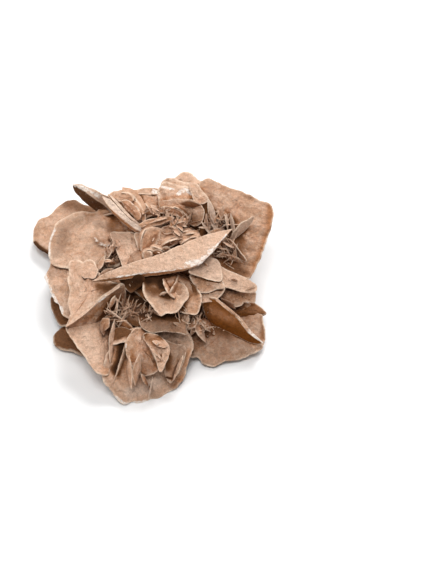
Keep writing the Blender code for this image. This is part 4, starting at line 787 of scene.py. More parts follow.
def buildPiece(region, points, faces, hollow, normals, material):
    sizes = np.where(faces[:, 3] < 0, 3, 4)
    corners = faces.reshape(-1)
    corners = corners[corners >= 0]
    mesh = bpy.data.meshes.new(region.name)
    mesh.vertices.add(len(points))
    mesh.vertices.foreach_set("co", (points * mm).astype(np.float32).ravel())
    mesh.loops.add(len(corners))
    mesh.loops.foreach_set("vertex_index", corners.astype(np.int32))
    mesh.polygons.add(len(faces))
    mesh.polygons.foreach_set("loop_start", np.concatenate([[0], np.cumsum(sizes)[:-1]]).astype(np.int32))
    mesh.update(calc_edges=True)
    marks = {key: np.concatenate(kept) for key, kept in region.marks.items()}
    # how closed in each point is; the material paints shade by it
    marks["hollow"] = hollow
    # how far each point faces up and a little back; the material paints light by it
    marks["upward"] = normals @ unit(np.array([0.0, 0.3, 1.0]))
    for key, values in marks.items():
        mark = mesh.attributes.new(key, "FLOAT", "POINT")
        mark.data.foreach_set("value", values.astype(np.float32))
    mesh.shade_smooth()
    mesh.set_sharp_from_angle(angle=math.radians(50))
    mesh.materials.append(material)
    piece = bpy.data.objects.new(region.name, mesh)
    bpy.context.scene.collection.objects.link(piece)
    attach(piece, "root")
    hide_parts("sand_rose")
    print("sand rose:", region.name, int((sizes - 2).sum()), "triangles")
    return piece


# What is laid down so far, coarsely, so that a new crystal can be tried against it.
held = {"points": [], "faces": []}


def heldTree():
    return BVHTree.FromPolygons(held["points"], held["faces"])


def hold(points, faces):
    first = len(held["points"])
    held["points"] += [tuple(p) for p in points]
    held["faces"] += [tuple(first + i for i in face) for face in faces]


# A coarse stand-in for a crystal: its rim, and a point over and under its middle.
def coarse(rim, normal, thick):
    count = len(rim)
    middle = rim.mean(0)
    points = [tuple(p) for p in (*rim, middle + normal * thick / 2, middle - normal * thick / 2)]
    faces = [(i, (i + 1) % count, count) for i in range(count)]
    return points, faces + [((i + 1) % count, i, count + 1) for i in range(count)]


# Distance on the sheet from each point to a chain of lines.
def fromChain(a, b, chain):
    nearest = np.full(a.shape, 1e9)
    spot = np.stack([a, b], -1)
    for start, end in zip(chain[:-1], chain[1:]):
        start, end = np.array(start, float), np.array(end, float)
        along = end - start
        t = np.clip(((spot - start) @ along) / (along @ along), 0, 1)
        nearest = np.minimum(nearest, np.linalg.norm(spot - start - t[..., None] * along, axis=-1))
    return nearest


def chipMark(points, name):
    total = np.zeros(points.shape[:-1])
    for chain, reach in chipped.get(name, ()):
        a, b = onSheet(points)
        uneven = reach * (1 + 0.6 * noise(points, 2.4, 3))
        total = np.maximum(total, 1 - smoothStep(0.5 * uneven, 1.3 * uneven + 0.5, fromChain(a, b, chain)))
    return total


# A mark of the stain table (real stains, and painted shade and light): strongest on its chain, fading out at its reach,
# uneven as it goes.
def stainAndShadeMark(points, name, which):
    total = np.zeros(points.shape[:-1])
    for chain, reach, tone, warm in stainsAndShade.get(name, ()):
        a, b = onSheet(points)
        far = fromChain(a, b, chain) * (1 + 0.35 * noise(points, 5, 8))
        total = total + (tone, warm)[which] * (1 - smoothStep(0.1 * reach, 1.15 * reach, far))
    return total


relief = {
    "sway": 0.6,  # slow bending of a whole plate, for each 40 mm of its size
    "swell": 0.36,  # lumps some millimetres wide
    "crumb": 0.2,  # lumps a millimetre or two wide
    "ledges": 3,  # growth steps towards the rim
    "ledge": 0.32,  # height of a step
    "wave": 0.55,  # how far a rim waves up and down
    "bluntness": 0.5,  # width of the rounded rim, in thicknesses
}


# A plate: rings shrunk from the rim to the point that sees all of it, over and under. Half its thickness is a
# quarter of an ellipse in from the rim, then level; steps that follow the rim take slices off; noise bends it.
def addPlate(region, name, rim, normal, thick, look):
    number = sum(ord(c) * (k + 1) for k, c in enumerate(name)) % 977
    first = unit(rim[0] - rim.mean(0))
    second = np.cross(normal, first)
    origin = rim.mean(0)
    flat = np.stack([(rim - origin) @ first, (rim - origin) @ second], 1)
    size = np.linalg.norm(flat.max(0) - flat.min(0))
    small = min(1, size / 30)
    ragged = look.get("ragged", 0.3 + 0.005 * size)
    edge = np.roll(flat, -1, 0) - np.roll(flat, 1, 0)
    edge = edge / np.linalg.norm(edge, axis=1)[:, None]
    aside = np.stack([edge[:, 1], -edge[:, 0]], 1)
    middle = seesAll(flat[:: max(1, len(rim) // 60)])
    outward = np.sign(np.sum((flat - middle) * aside))
    nick = np.maximum(noise(rim, 4.5, number + 40) - 0.35, 0) * 1.6
    flat = flat + aside * (outward * (fractal(rim, 6, 4, number) - nick) * ragged)[:, None]
    rings = fine["rings"] if size > 34 else fine["smallRings"]
    rho = np.sin(np.linspace(0, math.pi / 2, rings + 1)[1:]) ** 0.85
    spoke = flat - middle
    reach = np.linalg.norm(spoke, axis=1)
    width = np.maximum(np.abs(spoke[:, 0] * edge[:, 1] - spoke[:, 1] * edge[:, 0]), 0.35 * reach)
    fromRim = (1 - rho)[:, None] * width[None]
    spread = middle + rho[:, None, None] * spoke[None]
    place = origin + spread[..., :1] * first + spread[..., 1:] * second
    inwards = np.clip(fromRim / (relief["bluntness"] * thick), 0, 1)
    rounded = (1 - (1 - inwards) ** 2.6) ** (1 / 2.6)
    if "furrow" in look:
        (fa, fb), apart, high = look["furrow"]
        runA, runB = onSheet(place)
        phase = (runA * fa + runB * fb) / apart + 0.7 * noise(place, 22, number + 4)
        furrow = high * (np.abs(np.sin(math.pi * phase)) ** 0.7 - 0.6)
    else:
        furrow = 0.0
    lens = look.get("lens", 1.0 if thick < 2.5 else 0.35)
    half = thick / 2 * rounded * (1 - 0.55 * lens * rho[:, None] ** 2)
    swell = relief["swell"] * look.get("swell", 1.0)
    bend = look.get("sway", relief["sway"]) * size / 40 * noise(place, 0.45 * size + 6, number)
    bend = bend + look.get("cup", 0.0) * (rho[:, None] ** 2 - 0.5)
    bend = bend + look.get("wave", relief["wave"]) * small * rho[:, None] ** 3 * noise(place, 8, number + 2)
    bend = bend + small * swell * fractal(place, 10, 2, number + 3) + furrow
    skins = []
    for side in (1, -1):
        rough = (relief["crumb"] * fractal(place, 2.6, 2, number + 9 * side)
                 + 0.5 * swell * fractal(place, 5, 2, number + 7 * side)) * small
        steps = 0
        if size > 15:
            for k in range(look.get("ledges", relief["ledges"])):
                start = (k + 0.6) * (0.05 * size + 1)
                start = start * (1 + 0.75 * noise(place, 0.2 * size + 4, number + k + 5 * side))
                steps = steps + 1 - smoothStep(start, start + 0.55, fromRim)
        drop = look.get("ledge", relief["ledge"]) * min(1, thick / 3) * steps
        height = np.maximum(half - drop * rounded, 0.22 * thick * rounded) + rough * rounded
        skins.append(place + normal * (bend + side * height)[..., None])
    rings3 = np.concatenate([skins[0], skins[1][::-1][1:]])
    rimRows = np.concatenate([fromRim, fromRim[::-1][1:]])
    poles = [skins[0][0].mean(0), skins[1][0].mean(0)]
    tone = look.get("tone", 0.0) + 0.12 * math.sin(number * 12.9) + stainAndShadeMark(rings3, name, 0)
    warm = look.get("warm", 0.0) + stainAndShadeMark(rings3, name, 1)
    rimRows = rimRows / look.get("rim", 1.0)
    region.take(rings3, poles, fromRim=rimRows, chip=chipMark(rings3, name), tone=tone, warm=warm)


# A blade: from tip to tip its half width is a bow, sin(pi t), and its section is a lens, two arcs that meet in
# sharp edges; its middle line bows a little to one side.
def addBlade(region, first, second, side, normal, width, thick, seed=0, rows=20, columns=14, tone=0.0, warm=0.0,
             bow=0.0, inset=0.0):
    t = np.linspace(0, 1, rows + 2)[1:-1]
    turn = np.linspace(0, 2 * math.pi, columns, endpoint=False)
    span = np.linalg.norm(second - first)
    bulge = np.sin(math.pi * t)
    spine = first + np.multiply.outer(t, second - first)
    uneven = 1 + 0.16 * noise(np.stack([t * span, t * 0 + seed * 3.7, t * 0], 1), max(span / 4, 1.5), seed)
    wide = width / 2 * bulge ** 0.9 * uneven * 1.08
    deep = thick / 2 * bulge ** 0.6
    x = np.cos(turn)
    y = np.sign(np.sin(turn)) * (1 - np.abs(x)) ** 0.75
    rings = (spine[:, None] + (wide[:, None] * x)[..., None] * side + (deep[:, None] * y)[..., None] * normal
             + (bow * bulge)[:, None, None] * normal)
    rough = 0.012 * min(span, 14) * fractal(rings, max(span / 6, 1.2), 2, seed)
    rings = rings + normal * rough[..., None]
    edge = wide[:, None] * (1 - np.abs(x)[None]) + inset
    region.take(rings, [first, second], fromRim=edge, tone=tone, warm=warm)


# A bar with flat sides: at every station along its corner lines the section is the polygon through them, its
# corners eased by averaging each point with its neighbours.
barFine = {"stations": 110, "perSide": 12, "ease": 2}


def addBar(region, name, lines, litAndShadedTones, warms, chip, inset=0.0):
    chains = []
    for line in lines:
        a, b, z = np.array(line, float).T
        chains.append(curveThrough(lift(a, b, z), barFine["stations"], False)[0])
    corners = np.stack(chains, 1)
    s = (np.arange(barFine["perSide"]) / barFine["perSide"])[None, None, :, None]
    following = np.roll(corners, -1, 1)
    rings = (corners[:, :, None] * (1 - s) + following[:, :, None] * s).reshape(len(corners), -1, 3)
    length = np.linalg.norm(following - corners, axis=-1)[:, :, None]
    s = s[..., 0]
    fromRim = inset + (np.minimum(s, 1 - s) * length).reshape(len(corners), -1)
    for _ in range(barFine["ease"]):
        rings = 0.25 * np.roll(rings, 1, 1) + 0.5 * rings + 0.25 * np.roll(rings, -1, 1)
    heart = rings.mean(1, keepdims=True)
    outwards = (rings - heart) / (np.linalg.norm(rings - heart, axis=-1, keepdims=True) + 1e-6)
    size = np.linalg.norm(rings - heart, axis=-1)
    number = len(name)
    bump = 0.35 * fractal(rings, 5, 3, number) + 0.12 * fractal(rings, 1.8, 2, number + 4)
    rings = rings + outwards * (bump * np.clip(size / 2, 0, 1))[..., None]
    tone = np.tile(np.repeat(litAndShadedTones, barFine["perSide"]), (len(corners), 1)) + stainAndShadeMark(rings, name, 0)
    warm = np.tile(np.repeat(warms, barFine["perSide"]), (len(corners), 1)) + stainAndShadeMark(rings, name, 1)
    chips = np.maximum(chipMark(rings, name), chip)
    region.take(rings, [heart[0, 0], heart[-1, 0]], fromRim=fromRim, chip=chips, tone=tone, warm=warm)
    rim = np.concatenate([chains[0][::14], chains[2][::-14]])
    normal = unit(np.cross(chains[0][-1] - chains[0][0], chains[2][50] - chains[0][50]))
    points, faces = coarse(rim, normal, 3)
    hold(points, faces)


def rimOf(corners, through, thick, count=None):
    a, b, z = (np.array([p[k] for p in through], float) for k in range(3))
    p, q, r = lift(a, b, z)
    normal = unit(np.cross(q - p, r - p))
    if normal @ (eye - p) < 0:
        normal = -normal
    point = p - normal * thick / 2
    if count is None:
        length = curveThrough(corners, 64, True)[1]
        count = int(np.clip(length * fine["perMm"], fine["fewest"], fine["most"]))
    flat = curveThrough(corners, count, True)[0]
    ray = flat[:, :1] * across + flat[:, 1:] * up - eye
    return eye + ray * (((point - eye) @ normal) / (ray @ normal))[:, None], normal


# A root: a blade behind a crystal that nothing holds yet, straight away from the eye or to the nearest of the mass.
def addRoot(region, points, tree, seed):
    middle = np.mean(points, axis=0)
    away = unit(middle - eye)
    hit = tree.ray_cast(Vector(middle), Vector(away))[0] or tree.find_nearest(Vector(middle))[0]
    hit = np.array(hit)
    reach = hit - middle
    way = unit(reach)
    offsets = np.array(points) - middle
    longest = offsets[np.linalg.norm(offsets, axis=1).argmax()]
    side = longest - way * (longest @ way)
    half = side * 0.5
    butt = unit(np.cross(reach, half)) * 3
    end = hit + way * 5
    hold([middle + half, middle - half, end + butt, end - butt], [(0, 1, 2), (1, 0, 3), (2, 3, 0), (3, 2, 1)])
    length = np.linalg.norm(reach)
    addBlade(region, middle - way * 0.1 * length, hit + way * (3 + 0.8 * length), unit(side),
             unit(np.cross(way, side)), 1.5 * np.linalg.norm(half), 3.4, seed, tone=0.2)


def lay(rim, normal, thick, seed):
    points, faces = coarse(rim, normal, thick)
    tree = heldTree()
    if not tree.overlap(BVHTree.FromPolygons(points, faces)):
        addRoot(regions["massAndRoots"], points, tree, seed)
    hold(points, faces)


# Which piece each crystal belongs to, by the first word of its name.
regionOf = {
    "west": "westCrystals", "roof": "roofCrystals", "apron": "roofCrystals", "front": "frontCrystals",
    "shadow": "frontCrystals", "east": "eastCrystals", "petal": "petals", "long": "longBlade", "north": "backCrystals",
    "crown": "crownCrystals", "steep": "crownCrystals", "shell": "crownCrystals", "heart": "heartCrystals",
}
regions = {name: Region(name) for name in (
    "massAndRoots", "underCrystals", "westCrystals", "roofCrystals", "frontCrystals", "eastCrystals", "petals",
    "longBlade", "backCrystals", "crownCrystals", "heartCrystals", "blades", "curls", "needles", "fillers")}


# A lump: an ellipsoid in rings of latitude, swollen and dented by noise.
def addLump(middle, radii):
    tall, around = np.linspace(0, math.pi, 26)[1:-1], np.linspace(0, 2 * math.pi, 52, endpoint=False)
    ball = np.stack([np.multiply.outer(np.sin(tall), np.cos(around)), np.multiply.outer(np.sin(tall), np.sin(around)),
                     np.multiply.outer(np.cos(tall), np.ones(52))], -1)
    rings = np.array(middle) + ball * np.array(radii)
    rings = rings + ball * (1.6 * fractal(rings, 9, 3, 5) - 0.8)[..., None]
    poles = [np.array(middle) + [0, 0, radii[2]], np.array(middle) - [0, 0, radii[2]]]
    regions["massAndRoots"].take(rings, poles, fromRim=6.0, tone=0.45)
    coarseRows = ball[::4, ::5] * np.array(radii) + np.array(middle)
    rows, columns = coarseRows.shape[:2]
    index = np.arange(rows * columns).reshape(rows, columns)
    turned = np.roll(index, -1, 1)
    faces = np.stack([index[:-1], turned[:-1], turned[1:], index[1:]], -1).reshape(-1, 4).tolist()
    faces += [index[0].tolist(), index[-1][::-1].tolist()]
    hold(coarseRows.reshape(-1, 3), faces)


for middle, radii in lumps:
    addLump(middle, radii)
print("sand rose: mass laid down")


# A plate in the rose's own axes: an oval with shallow lobes, tilted, turned and set down.
def addUnderPlate(number, middle, azimuth, tilt, spin, length, width, thick):
    az, tl, sp = (math.radians(v) for v in (azimuth, tilt, spin + 90))
    turnZ = np.array([[math.cos(az), -math.sin(az), 0], [math.sin(az), math.cos(az), 0], [0, 0, 1]])
    turnY = np.array([[math.cos(tl), 0, math.sin(tl)], [0, 1, 0], [-math.sin(tl), 0, math.cos(tl)]])
    spinZ = np.array([[math.cos(sp), -math.sin(sp), 0], [math.sin(sp), math.cos(sp), 0], [0, 0, 1]])
    turn = turnZ @ turnY @ spinZ

    def oval(count):
        t = np.linspace(0, 2 * math.pi, count, endpoint=False)
        swell = 1 + 0.09 * np.sin(3 * t + middle[0]) + 0.05 * np.sin(5 * t + middle[1])
        flat = np.stack([length / 2 * swell * np.cos(t), width / 2 * swell * np.sin(t), 0 * t], 1)
        return np.array(middle) + flat @ turn.T

    normal = turn @ np.array([0.0, 0.0, 1.0])
    lay(oval(10), normal, thick, 500 + number)
    addPlate(regions["underCrystals"], f"under{number}", oval(int((length + width) * 1.1)), normal, thick,
             {"tone": 0.15, "ragged": 0.9})


for number, given in enumerate(underPlates):
    addUnderPlate(number, *given)

barInstead = {"steep_blade_west": "plankWest", "steep_blade_east": "plankEast", "long_blade": "longBlade"}

for name, (corners, through, thick) in plates.items():
    if name in barInstead:
        addBar(regions[regionOf[name.split("_")[0]]], name, *bars[barInstead[name]])
        continue
    through = shifted.get(name, through)
    rimCoarse, normal = rimOf(corners, through, thick, 12)
    lay(rimCoarse, normal, thick, len(name))
    rim, normal = rimOf(corners, through, thick)
    addPlate(regions[regionOf[name.split("_")[0]]], name, rim, normal, thick, looks.get(name, {}))
print("sand rose: plates laid down")


def bladeAxes(first, second, roll):
    along = unit(second - first)
    toEye = eye - first
    facing = unit(toEye - along * (toEye @ along))
    normal = facing * math.cos(math.radians(roll)) + np.cross(along, facing) * math.sin(math.radians(roll))
    return np.cross(along, normal), normal


addBar(regions["crownCrystals"], "horn", *bars["horn"])
addBar(regions["roofCrystals"], "ridge", *bars["ridge"])
addBar(regions["eastCrystals"], "leaningEdge", *bars["leaningEdge"])
for number, (start, end, width, roll, thick) in enumerate(blades[1:]):
    toned = []
    if number in recut:
        if recut[number] is None:
            continue
        start, end, width, roll, thick, *toned = recut[number]
    first, second = (lift(*map(np.float64, p)) for p in (start, end))
    side, normal = bladeAxes(first, second, roll)
    t = np.array([0, 0.3, 0.7, 1, 0.7, 0.3])
    bulge = np.array([0, 1, 1, 0, -1, -1]) * 0.84 * width / 2
    rim = first + np.multiply.outer(t, second - first) + np.multiply.outer(bulge, side)
    lay(rim, normal, thick, 700 + number)
    addBlade(regions["blades"], first, second, side, normal, width, thick, number, 44 if width > 10 else 26, 20,
             tone=toned[0] if toned else 0.3 * math.sin(number * 5.1) - 0.1, warm=toned[1] if toned[1:] else 0.1, bow=0.06 * width * math.sin(number * 2.3))
print("sand rose: blades laid down")

# A curl: a thin upright sheet on a winding line. The line is laid on whatever the eye sees there and raised a
# little towards it; the sheet goes from it away from the eye, thickest a little behind its front edge.
curlSet = {"rows": 70, "columns": 14, "raise": 2.2, "depth": 7.0, "thick": 1.5}


def addCurl(number, tree, path, tone, lean, lifted=None):
    flat = curveThrough(path, curlSet["rows"], False)[0]
    ray = flat[:, :1] * across + flat[:, 1:] * up - eye
    ray = ray / np.linalg.norm(ray, axis=1)[:, None]
    far = np.array([(Vector(tree.ray_cast(Vector(eye), Vector(way))[0] or eye + way * 1200) - Vector(eye)).length
                    for way in ray])
    run = np.arange(len(far))
    far = np.polyval(np.polyfit(run, far, 3), run)
    t = np.linspace(0, 1, len(far))
    front = eye + ray * (far - (lifted or curlSet["raise"]) * (0.4 + 0.6 * np.sin(math.pi * t)))[:, None]
    along = np.gradient(front, axis=0)
    along = along / np.linalg.norm(along, axis=1)[:, None]
    side = np.cross(along, ray)
    side = side / np.linalg.norm(side, axis=1)[:, None]
    away = ray + side * lean
    away = away / np.linalg.norm(away, axis=1)[:, None]
    turn = np.linspace(0, 2 * math.pi, curlSet["columns"], endpoint=False)
    deep = 0.5 * (1 - np.cos(turn))
    aside = np.sign(np.sin(turn)) * np.abs(np.sin(turn)) ** 0.7
    ends = np.sin(math.pi * np.clip(t * 0.96 + 0.02, 0, 1)) ** 0.35
    uneven = 1 + 0.25 * noise(front, 4, number)
    rings = (front[:, None] + away[:, None] * (deep[None] * curlSet["depth"])[..., None]
             + side[:, None] * (0.5 * curlSet["thick"] * (ends * uneven)[:, None] * aside[None])[..., None])
    rings = rings + 0.25 * fractal(rings, 3, 2, number)[..., None] * side[:, None]
    rim = np.tile(deep * curlSet["depth"], (len(rings), 1))
    region = regions["curls"]
    region.take(rings, [rings[0].mean(0), rings[-1].mean(0)], fromRim=rim, tone=tone, warm=0.35)


tree = heldTree()
for number, given in enumerate(curls):
    addCurl(number, tree, *given)
print("sand rose: curls laid down")

# Needles fill the hollows on a sunflower spiral, each standing on whatever the eye sees there.
needleSet = {"golden": math.pi * (3 - math.sqrt(5)), "rows": 9, "columns": 10, "thick": (0.9, 1.5), "wide": (0.18, 0.45),
             "inset": 0.5}


def addNest(middle, radii, count, length, lean, seed, shade=0.0, narrow=1.0):
    rng = np.random.default_rng(seed)
    tree = heldTree()
    for k in range(count):
        far = math.sqrt((k + 0.5) / count)
        turn = k * needleSet["golden"] + rng.uniform(-0.4, 0.4)
        a, b = far * math.cos(turn), far * math.sin(turn)
        sight = (middle[0] + a * radii[0]) * across + (middle[1] + b * radii[1]) * up - eye
        foot = tree.ray_cast(Vector(eye), Vector(sight))[0]
        if foot is None:
            continue
        foot = np.array(foot)
        aim = across * (lean[0] + 0.5 * a + rng.normal(0, 0.6)) + up * (lean[1] + 0.4 * b + rng.normal(0, 0.6))
        aim = unit(aim + out * rng.uniform(0.1, 0.8))
        reach = length * rng.uniform(0.5, 1.3)
        tilt = across * rng.normal(0, 0.5) + up * rng.normal(0, 0.5)
        side = out + tilt
        side = unit(side - aim * (side @ aim))
        # the needles' tone is mostly pale, painted light on their edges, shifted by the nest's shade
        addBlade(regions["needles"], foot - aim * 0.35 * reach, foot + aim * 0.65 * reach, side, np.cross(aim, side),
                 reach * narrow * rng.uniform(*needleSet["wide"]), rng.uniform(*needleSet["thick"]), int(rng.integers(1000)),
                 needleSet["rows"], needleSet["columns"], tone=shade + rng.uniform(-0.9, 0.3), warm=0.25, inset=needleSet["inset"])


for middle, radii, count, length, lean, seed in nests:
    addNest(middle, radii, count, 1.2 * length, lean, seed)
for given in moreNests:
    addNest(*given)
print("sand rose: needles laid down")

# Fillers: lens crystals set all over the lumps, on a sunflower spiral round each, wherever the front view
# doesn't look in, so that the hollows at the sides and the back are full of crystals too.
filler = {"each": 46, "length": (9.0, 17.0), "stretch": 0.5, "lean": 0.8, "seed": 77}


def addFillers(middle, radii, rng, tree):
    for k in range(filler["each"]):
        z = 1 - 1.7 * (k + 0.5) / filler["each"]
        turn = k * needleSet["golden"]
        flat = math.sqrt(1 - z * z)
        outwards = np.array([flat * math.cos(turn), flat * math.sin(turn), z])
        foot = np.array(middle) + outwards * np.array(radii)
        aim = unit(outwards / np.array(radii) * 20 + rng.uniform(-1, 1, 3) * filler["lean"])
        reach = rng.uniform(*filler["length"])
        side = unit(np.cross(aim, rng.uniform(-1, 1, 3)))
        width, tone, number = reach * rng.uniform(0.45, 0.75), rng.uniform(-0.3, 0.6), int(rng.integers(1000))
        tip = foot + aim * filler["stretch"] * reach
        spots = (tip, foot, foot + side * width / 2 + aim * 2, foot - side * width / 2 + aim * 2)
        hidden = all(np.linalg.norm(np.array(tree.ray_cast(Vector(eye), Vector(unit(p - eye)))[0] or p) - eye)
                     < np.linalg.norm(p - eye) - 1.5 for p in spots)
        if hidden and tip[2] > 1 and foot[2] > 1:
            addBlade(regions["fillers"], foot - aim * (1 - filler["stretch"]) * reach, tip, side,
                     np.cross(aim, side), width, 1.6, number, 10, 12, tone=tone)


rng = np.random.default_rng(filler["seed"])
tree = heldTree()
for middle, radii in lumps:
    addFillers(middle, radii, rng, tree)
print("sand rose: fillers laid down")


# Shader groups. Each puts out only values and colours that change over the surface.
def newGroup(name, inputs, outputs):
    group = bpy.data.node_groups.new(name, "ShaderNodeTree")
    for label, kind, value in inputs:
        made = group.interface.new_socket(label, in_out="INPUT", socket_type=kind)
        if value is not None:
            made.default_value = value
    for label, kind in outputs:
        group.interface.new_socket(label, in_out="OUTPUT", socket_type=kind)
    return group, group.nodes.new("NodeGroupInput"), group.nodes.new("NodeGroupOutput")


def add(tree, kind, links=(), **settings):
    node = tree.nodes.new(kind)
    for key, value in settings.items():
        if key.startswith("in"):
            node.inputs[int(key[2:])].default_value = value
        else:
            setattr(node, key, value)
    for socket, source in links:
        tree.links.new(source, node.inputs[socket])
    return node


def ramp(tree, source, stops, interpolation="LINEAR"):
    node = add(tree, "ShaderNodeValToRGB", [(0, source)])
    node.color_ramp.interpolation = interpolation
    while len(node.color_ramp.elements) < len(stops):
        node.color_ramp.elements.new(0.5)
    for element, (place, colour) in zip(node.color_ramp.elements, stops):
        element.position = place
        element.color = (*colour, 1) if len(colour) == 3 else colour
    return node


def texture(tree, place, scale, detail, roughness):
    node = add(tree, "ShaderNodeTexNoise", [("Vector", place)])
    for label, value in (("Scale", scale), ("Detail", detail), ("Roughness", roughness)):
        node.inputs[label].default_value = value
    return node.outputs[0]


# Cemented sand: grains of several sizes, as a height and as a light and dark speckle.
def sandGrain():
    group, enter, leave = newGroup(
        "sandGrain", [("Place", "NodeSocketVector", None), ("Grain", "NodeSocketFloat", 1700.0)],
        [("Height", "NodeSocketFloat"), ("Speckle", "NodeSocketFloat")])
    t = group
    fineGrain = add(t, "ShaderNodeTexNoise", [("Vector", enter.outputs[0]), ("Scale", enter.outputs[1])], in3=3.0)
    fineGrain.inputs["Detail"].default_value = 3.0
    cells = add(t, "ShaderNodeTexVoronoi", [("Vector", enter.outputs[0]), ("Scale", enter.outputs[1])])
    coarseNoise = add(t, "ShaderNodeTexNoise", [("Vector", enter.outputs[0])])
    coarseNoise.inputs["Scale"].default_value = 420.0
    coarseNoise.inputs["Detail"].default_value = 5.0
    joined = add(t, "ShaderNodeMath", [(0, fineGrain.outputs[0]), (1, coarseNoise.outputs[0])], operation="ADD")
    height = add(t, "ShaderNodeMath", [(0, joined.outputs[0]), (1, cells.outputs["Distance"])], operation="SUBTRACT")
    speckle = add(t, "ShaderNodeMapRange", [(0, fineGrain.outputs[0])], in1=0.34, in2=0.68)
    t.links.new(height.outputs[0], leave.inputs[0])
    t.links.new(speckle.outputs[0], leave.inputs[1])
    return group


# Broken and lit edges: how much of the surface is bare crystal, and how much of a rim is worn and carries a painted
# highlight, from the marks on the mesh broken up by noise.
def brokenAndLitEdge():
    group, enter, leave = newGroup(
        "brokenAndLitEdge", [("Place", "NodeSocketVector", None), ("From Rim", "NodeSocketFloat", 1.0),
                       ("Chip", "NodeSocketFloat", 0.0)],
        [("WearAndHighlight", "NodeSocketFloat"), ("Bare", "NodeSocketFloat")])
    t = group
    patch = texture(t, enter.outputs[0], 260.0, 5.0, 0.62)
    # wear and painted highlight: strongest at the rim, fading over a millimetre or so, uneven along it
    near = add(t, "ShaderNodeMapRange", [(0, enter.outputs[1])], in1=1.5, in2=0.2, in3=0.0, in4=0.95)
    broken = add(t, "ShaderNodeMapRange", [(0, patch)], in1=0.36, in2=0.5, in3=0.15, in4=1.0)
    stretch = add(t, "ShaderNodeMapRange", [(0, texture(t, enter.outputs[0], 70.0, 2.0, 0.5))],
                  in1=0.36, in2=0.56, in3=0.4, in4=1.0)
    uneven = add(t, "ShaderNodeMath", [(0, stretch.outputs[0]), (1, broken.outputs[0])], operation="MULTIPLY")
    wornAndLit = add(t, "ShaderNodeMath", [(0, near.outputs[0]), (1, uneven.outputs[0])], operation="MULTIPLY")
    spotted = add(t, "ShaderNodeMath", [(0, texture(t, enter.outputs[0], 620.0, 4.0, 0.7))], operation="MULTIPLY", in1=2.6)
    lifted = add(t, "ShaderNodeMath", [(0, enter.outputs[2]), (1, spotted.outputs[0])], operation="ADD")
    bare = add(t, "ShaderNodeMapRange", [(0, lifted.outputs[0])], in1=1.9, in2=2.4)
    t.links.new(wornAndLit.outputs[0], leave.inputs[0])
    t.links.new(bare.outputs[0], leave.inputs[1])
    return group


# Weather, painted light and painted shade: faces that look up and a little back and lie open are painted paler, as dust
# also makes them; the hollows get rust and painted shade, an orange tint and then a darkening that stand in for the
# shade there.
def weatherLightAndShade():
    group, enter, leave = newGroup(
        "weatherLightAndShade", [("Place", "NodeSocketVector", None), ("Hollow", "NodeSocketFloat", 0.3),
                    ("Upward", "NodeSocketFloat", 0.5)],
        [("RustAndShade", "NodeSocketFloat"), ("DeepShade", "NodeSocketFloat"), ("DustAndLight", "NodeSocketFloat")])
    t = group
    drift = texture(t, enter.outputs[0], 90.0, 5.0, 0.6)
    swing = add(t, "ShaderNodeMapRange", [(0, drift)], in1=0.3, in2=0.7, in3=-0.16, in4=0.16)
    closed = add(t, "ShaderNodeMath", [(0, enter.outputs[1]), (1, swing.outputs[0])], operation="ADD")
    # rust and painted shade: an orange tint that grows as a point is more closed in
    rust = add(t, "ShaderNodeMapRange", [(0, closed.outputs[0])], in1=0.32, in2=0.7, in3=0.0, in4=0.9)
    # painted shade: a darkening that grows as a point is more closed in
    deep = add(t, "ShaderNodeMapRange", [(0, closed.outputs[0])], in1=0.43, in2=0.84, in3=0.0, in4=0.93)
    # painted light, with dust: paler where a face looks up and a little back and lies open
    facing = add(t, "ShaderNodeMapRange", [(0, enter.outputs[2])], in1=0.15, in2=0.95, in3=0.0, in4=1.0)
    open_ = add(t, "ShaderNodeMapRange", [(0, closed.outputs[0])], in1=0.6, in2=0.15, in3=0.0, in4=1.0)
    dustAndSkyLight = add(t, "ShaderNodeMath", [(0, facing.outputs[0]), (1, open_.outputs[0])], operation="MULTIPLY")
    for source, target in ((rust, 0), (deep, 1), (dustAndSkyLight, 2)):
        t.links.new(source.outputs[0], leave.inputs[target])
    return group


# deep is painted shade for the hollows, shade darkens the darkest tones, most of them painted shade, and edge is the
# rims' wear and painted highlight
finish = {
    "pale": (0.70, 0.475, 0.345), "tan": (0.54, 0.31, 0.19), "pink": (0.62, 0.34, 0.225),
    "brown": (0.33, 0.155, 0.075), "umber": (0.15, 0.058, 0.02), "rust": (0.50, 0.19, 0.06),
    "deep": (0.075, 0.026, 0.009), "grey": (0.30, 0.22, 0.165), "edge": (0.88, 0.68, 0.52),
    "bare": (0.88, 0.78, 0.70), "amber": (0.21, 0.062, 0.006), "shade": (0.035, 0.014, 0.006),
    "chalk": (0.78, 0.64, 0.54),
}


def mixIn(t, under, over, factor):
    node = add(t, "ShaderNodeMix", [("Factor", factor), (6, under)], data_type="RGBA")
    if isinstance(over, str):
        node.inputs[7].default_value = (*finish[over], 1)
    else:
        t.links.new(over, node.inputs[7])
    return node.outputs[2]


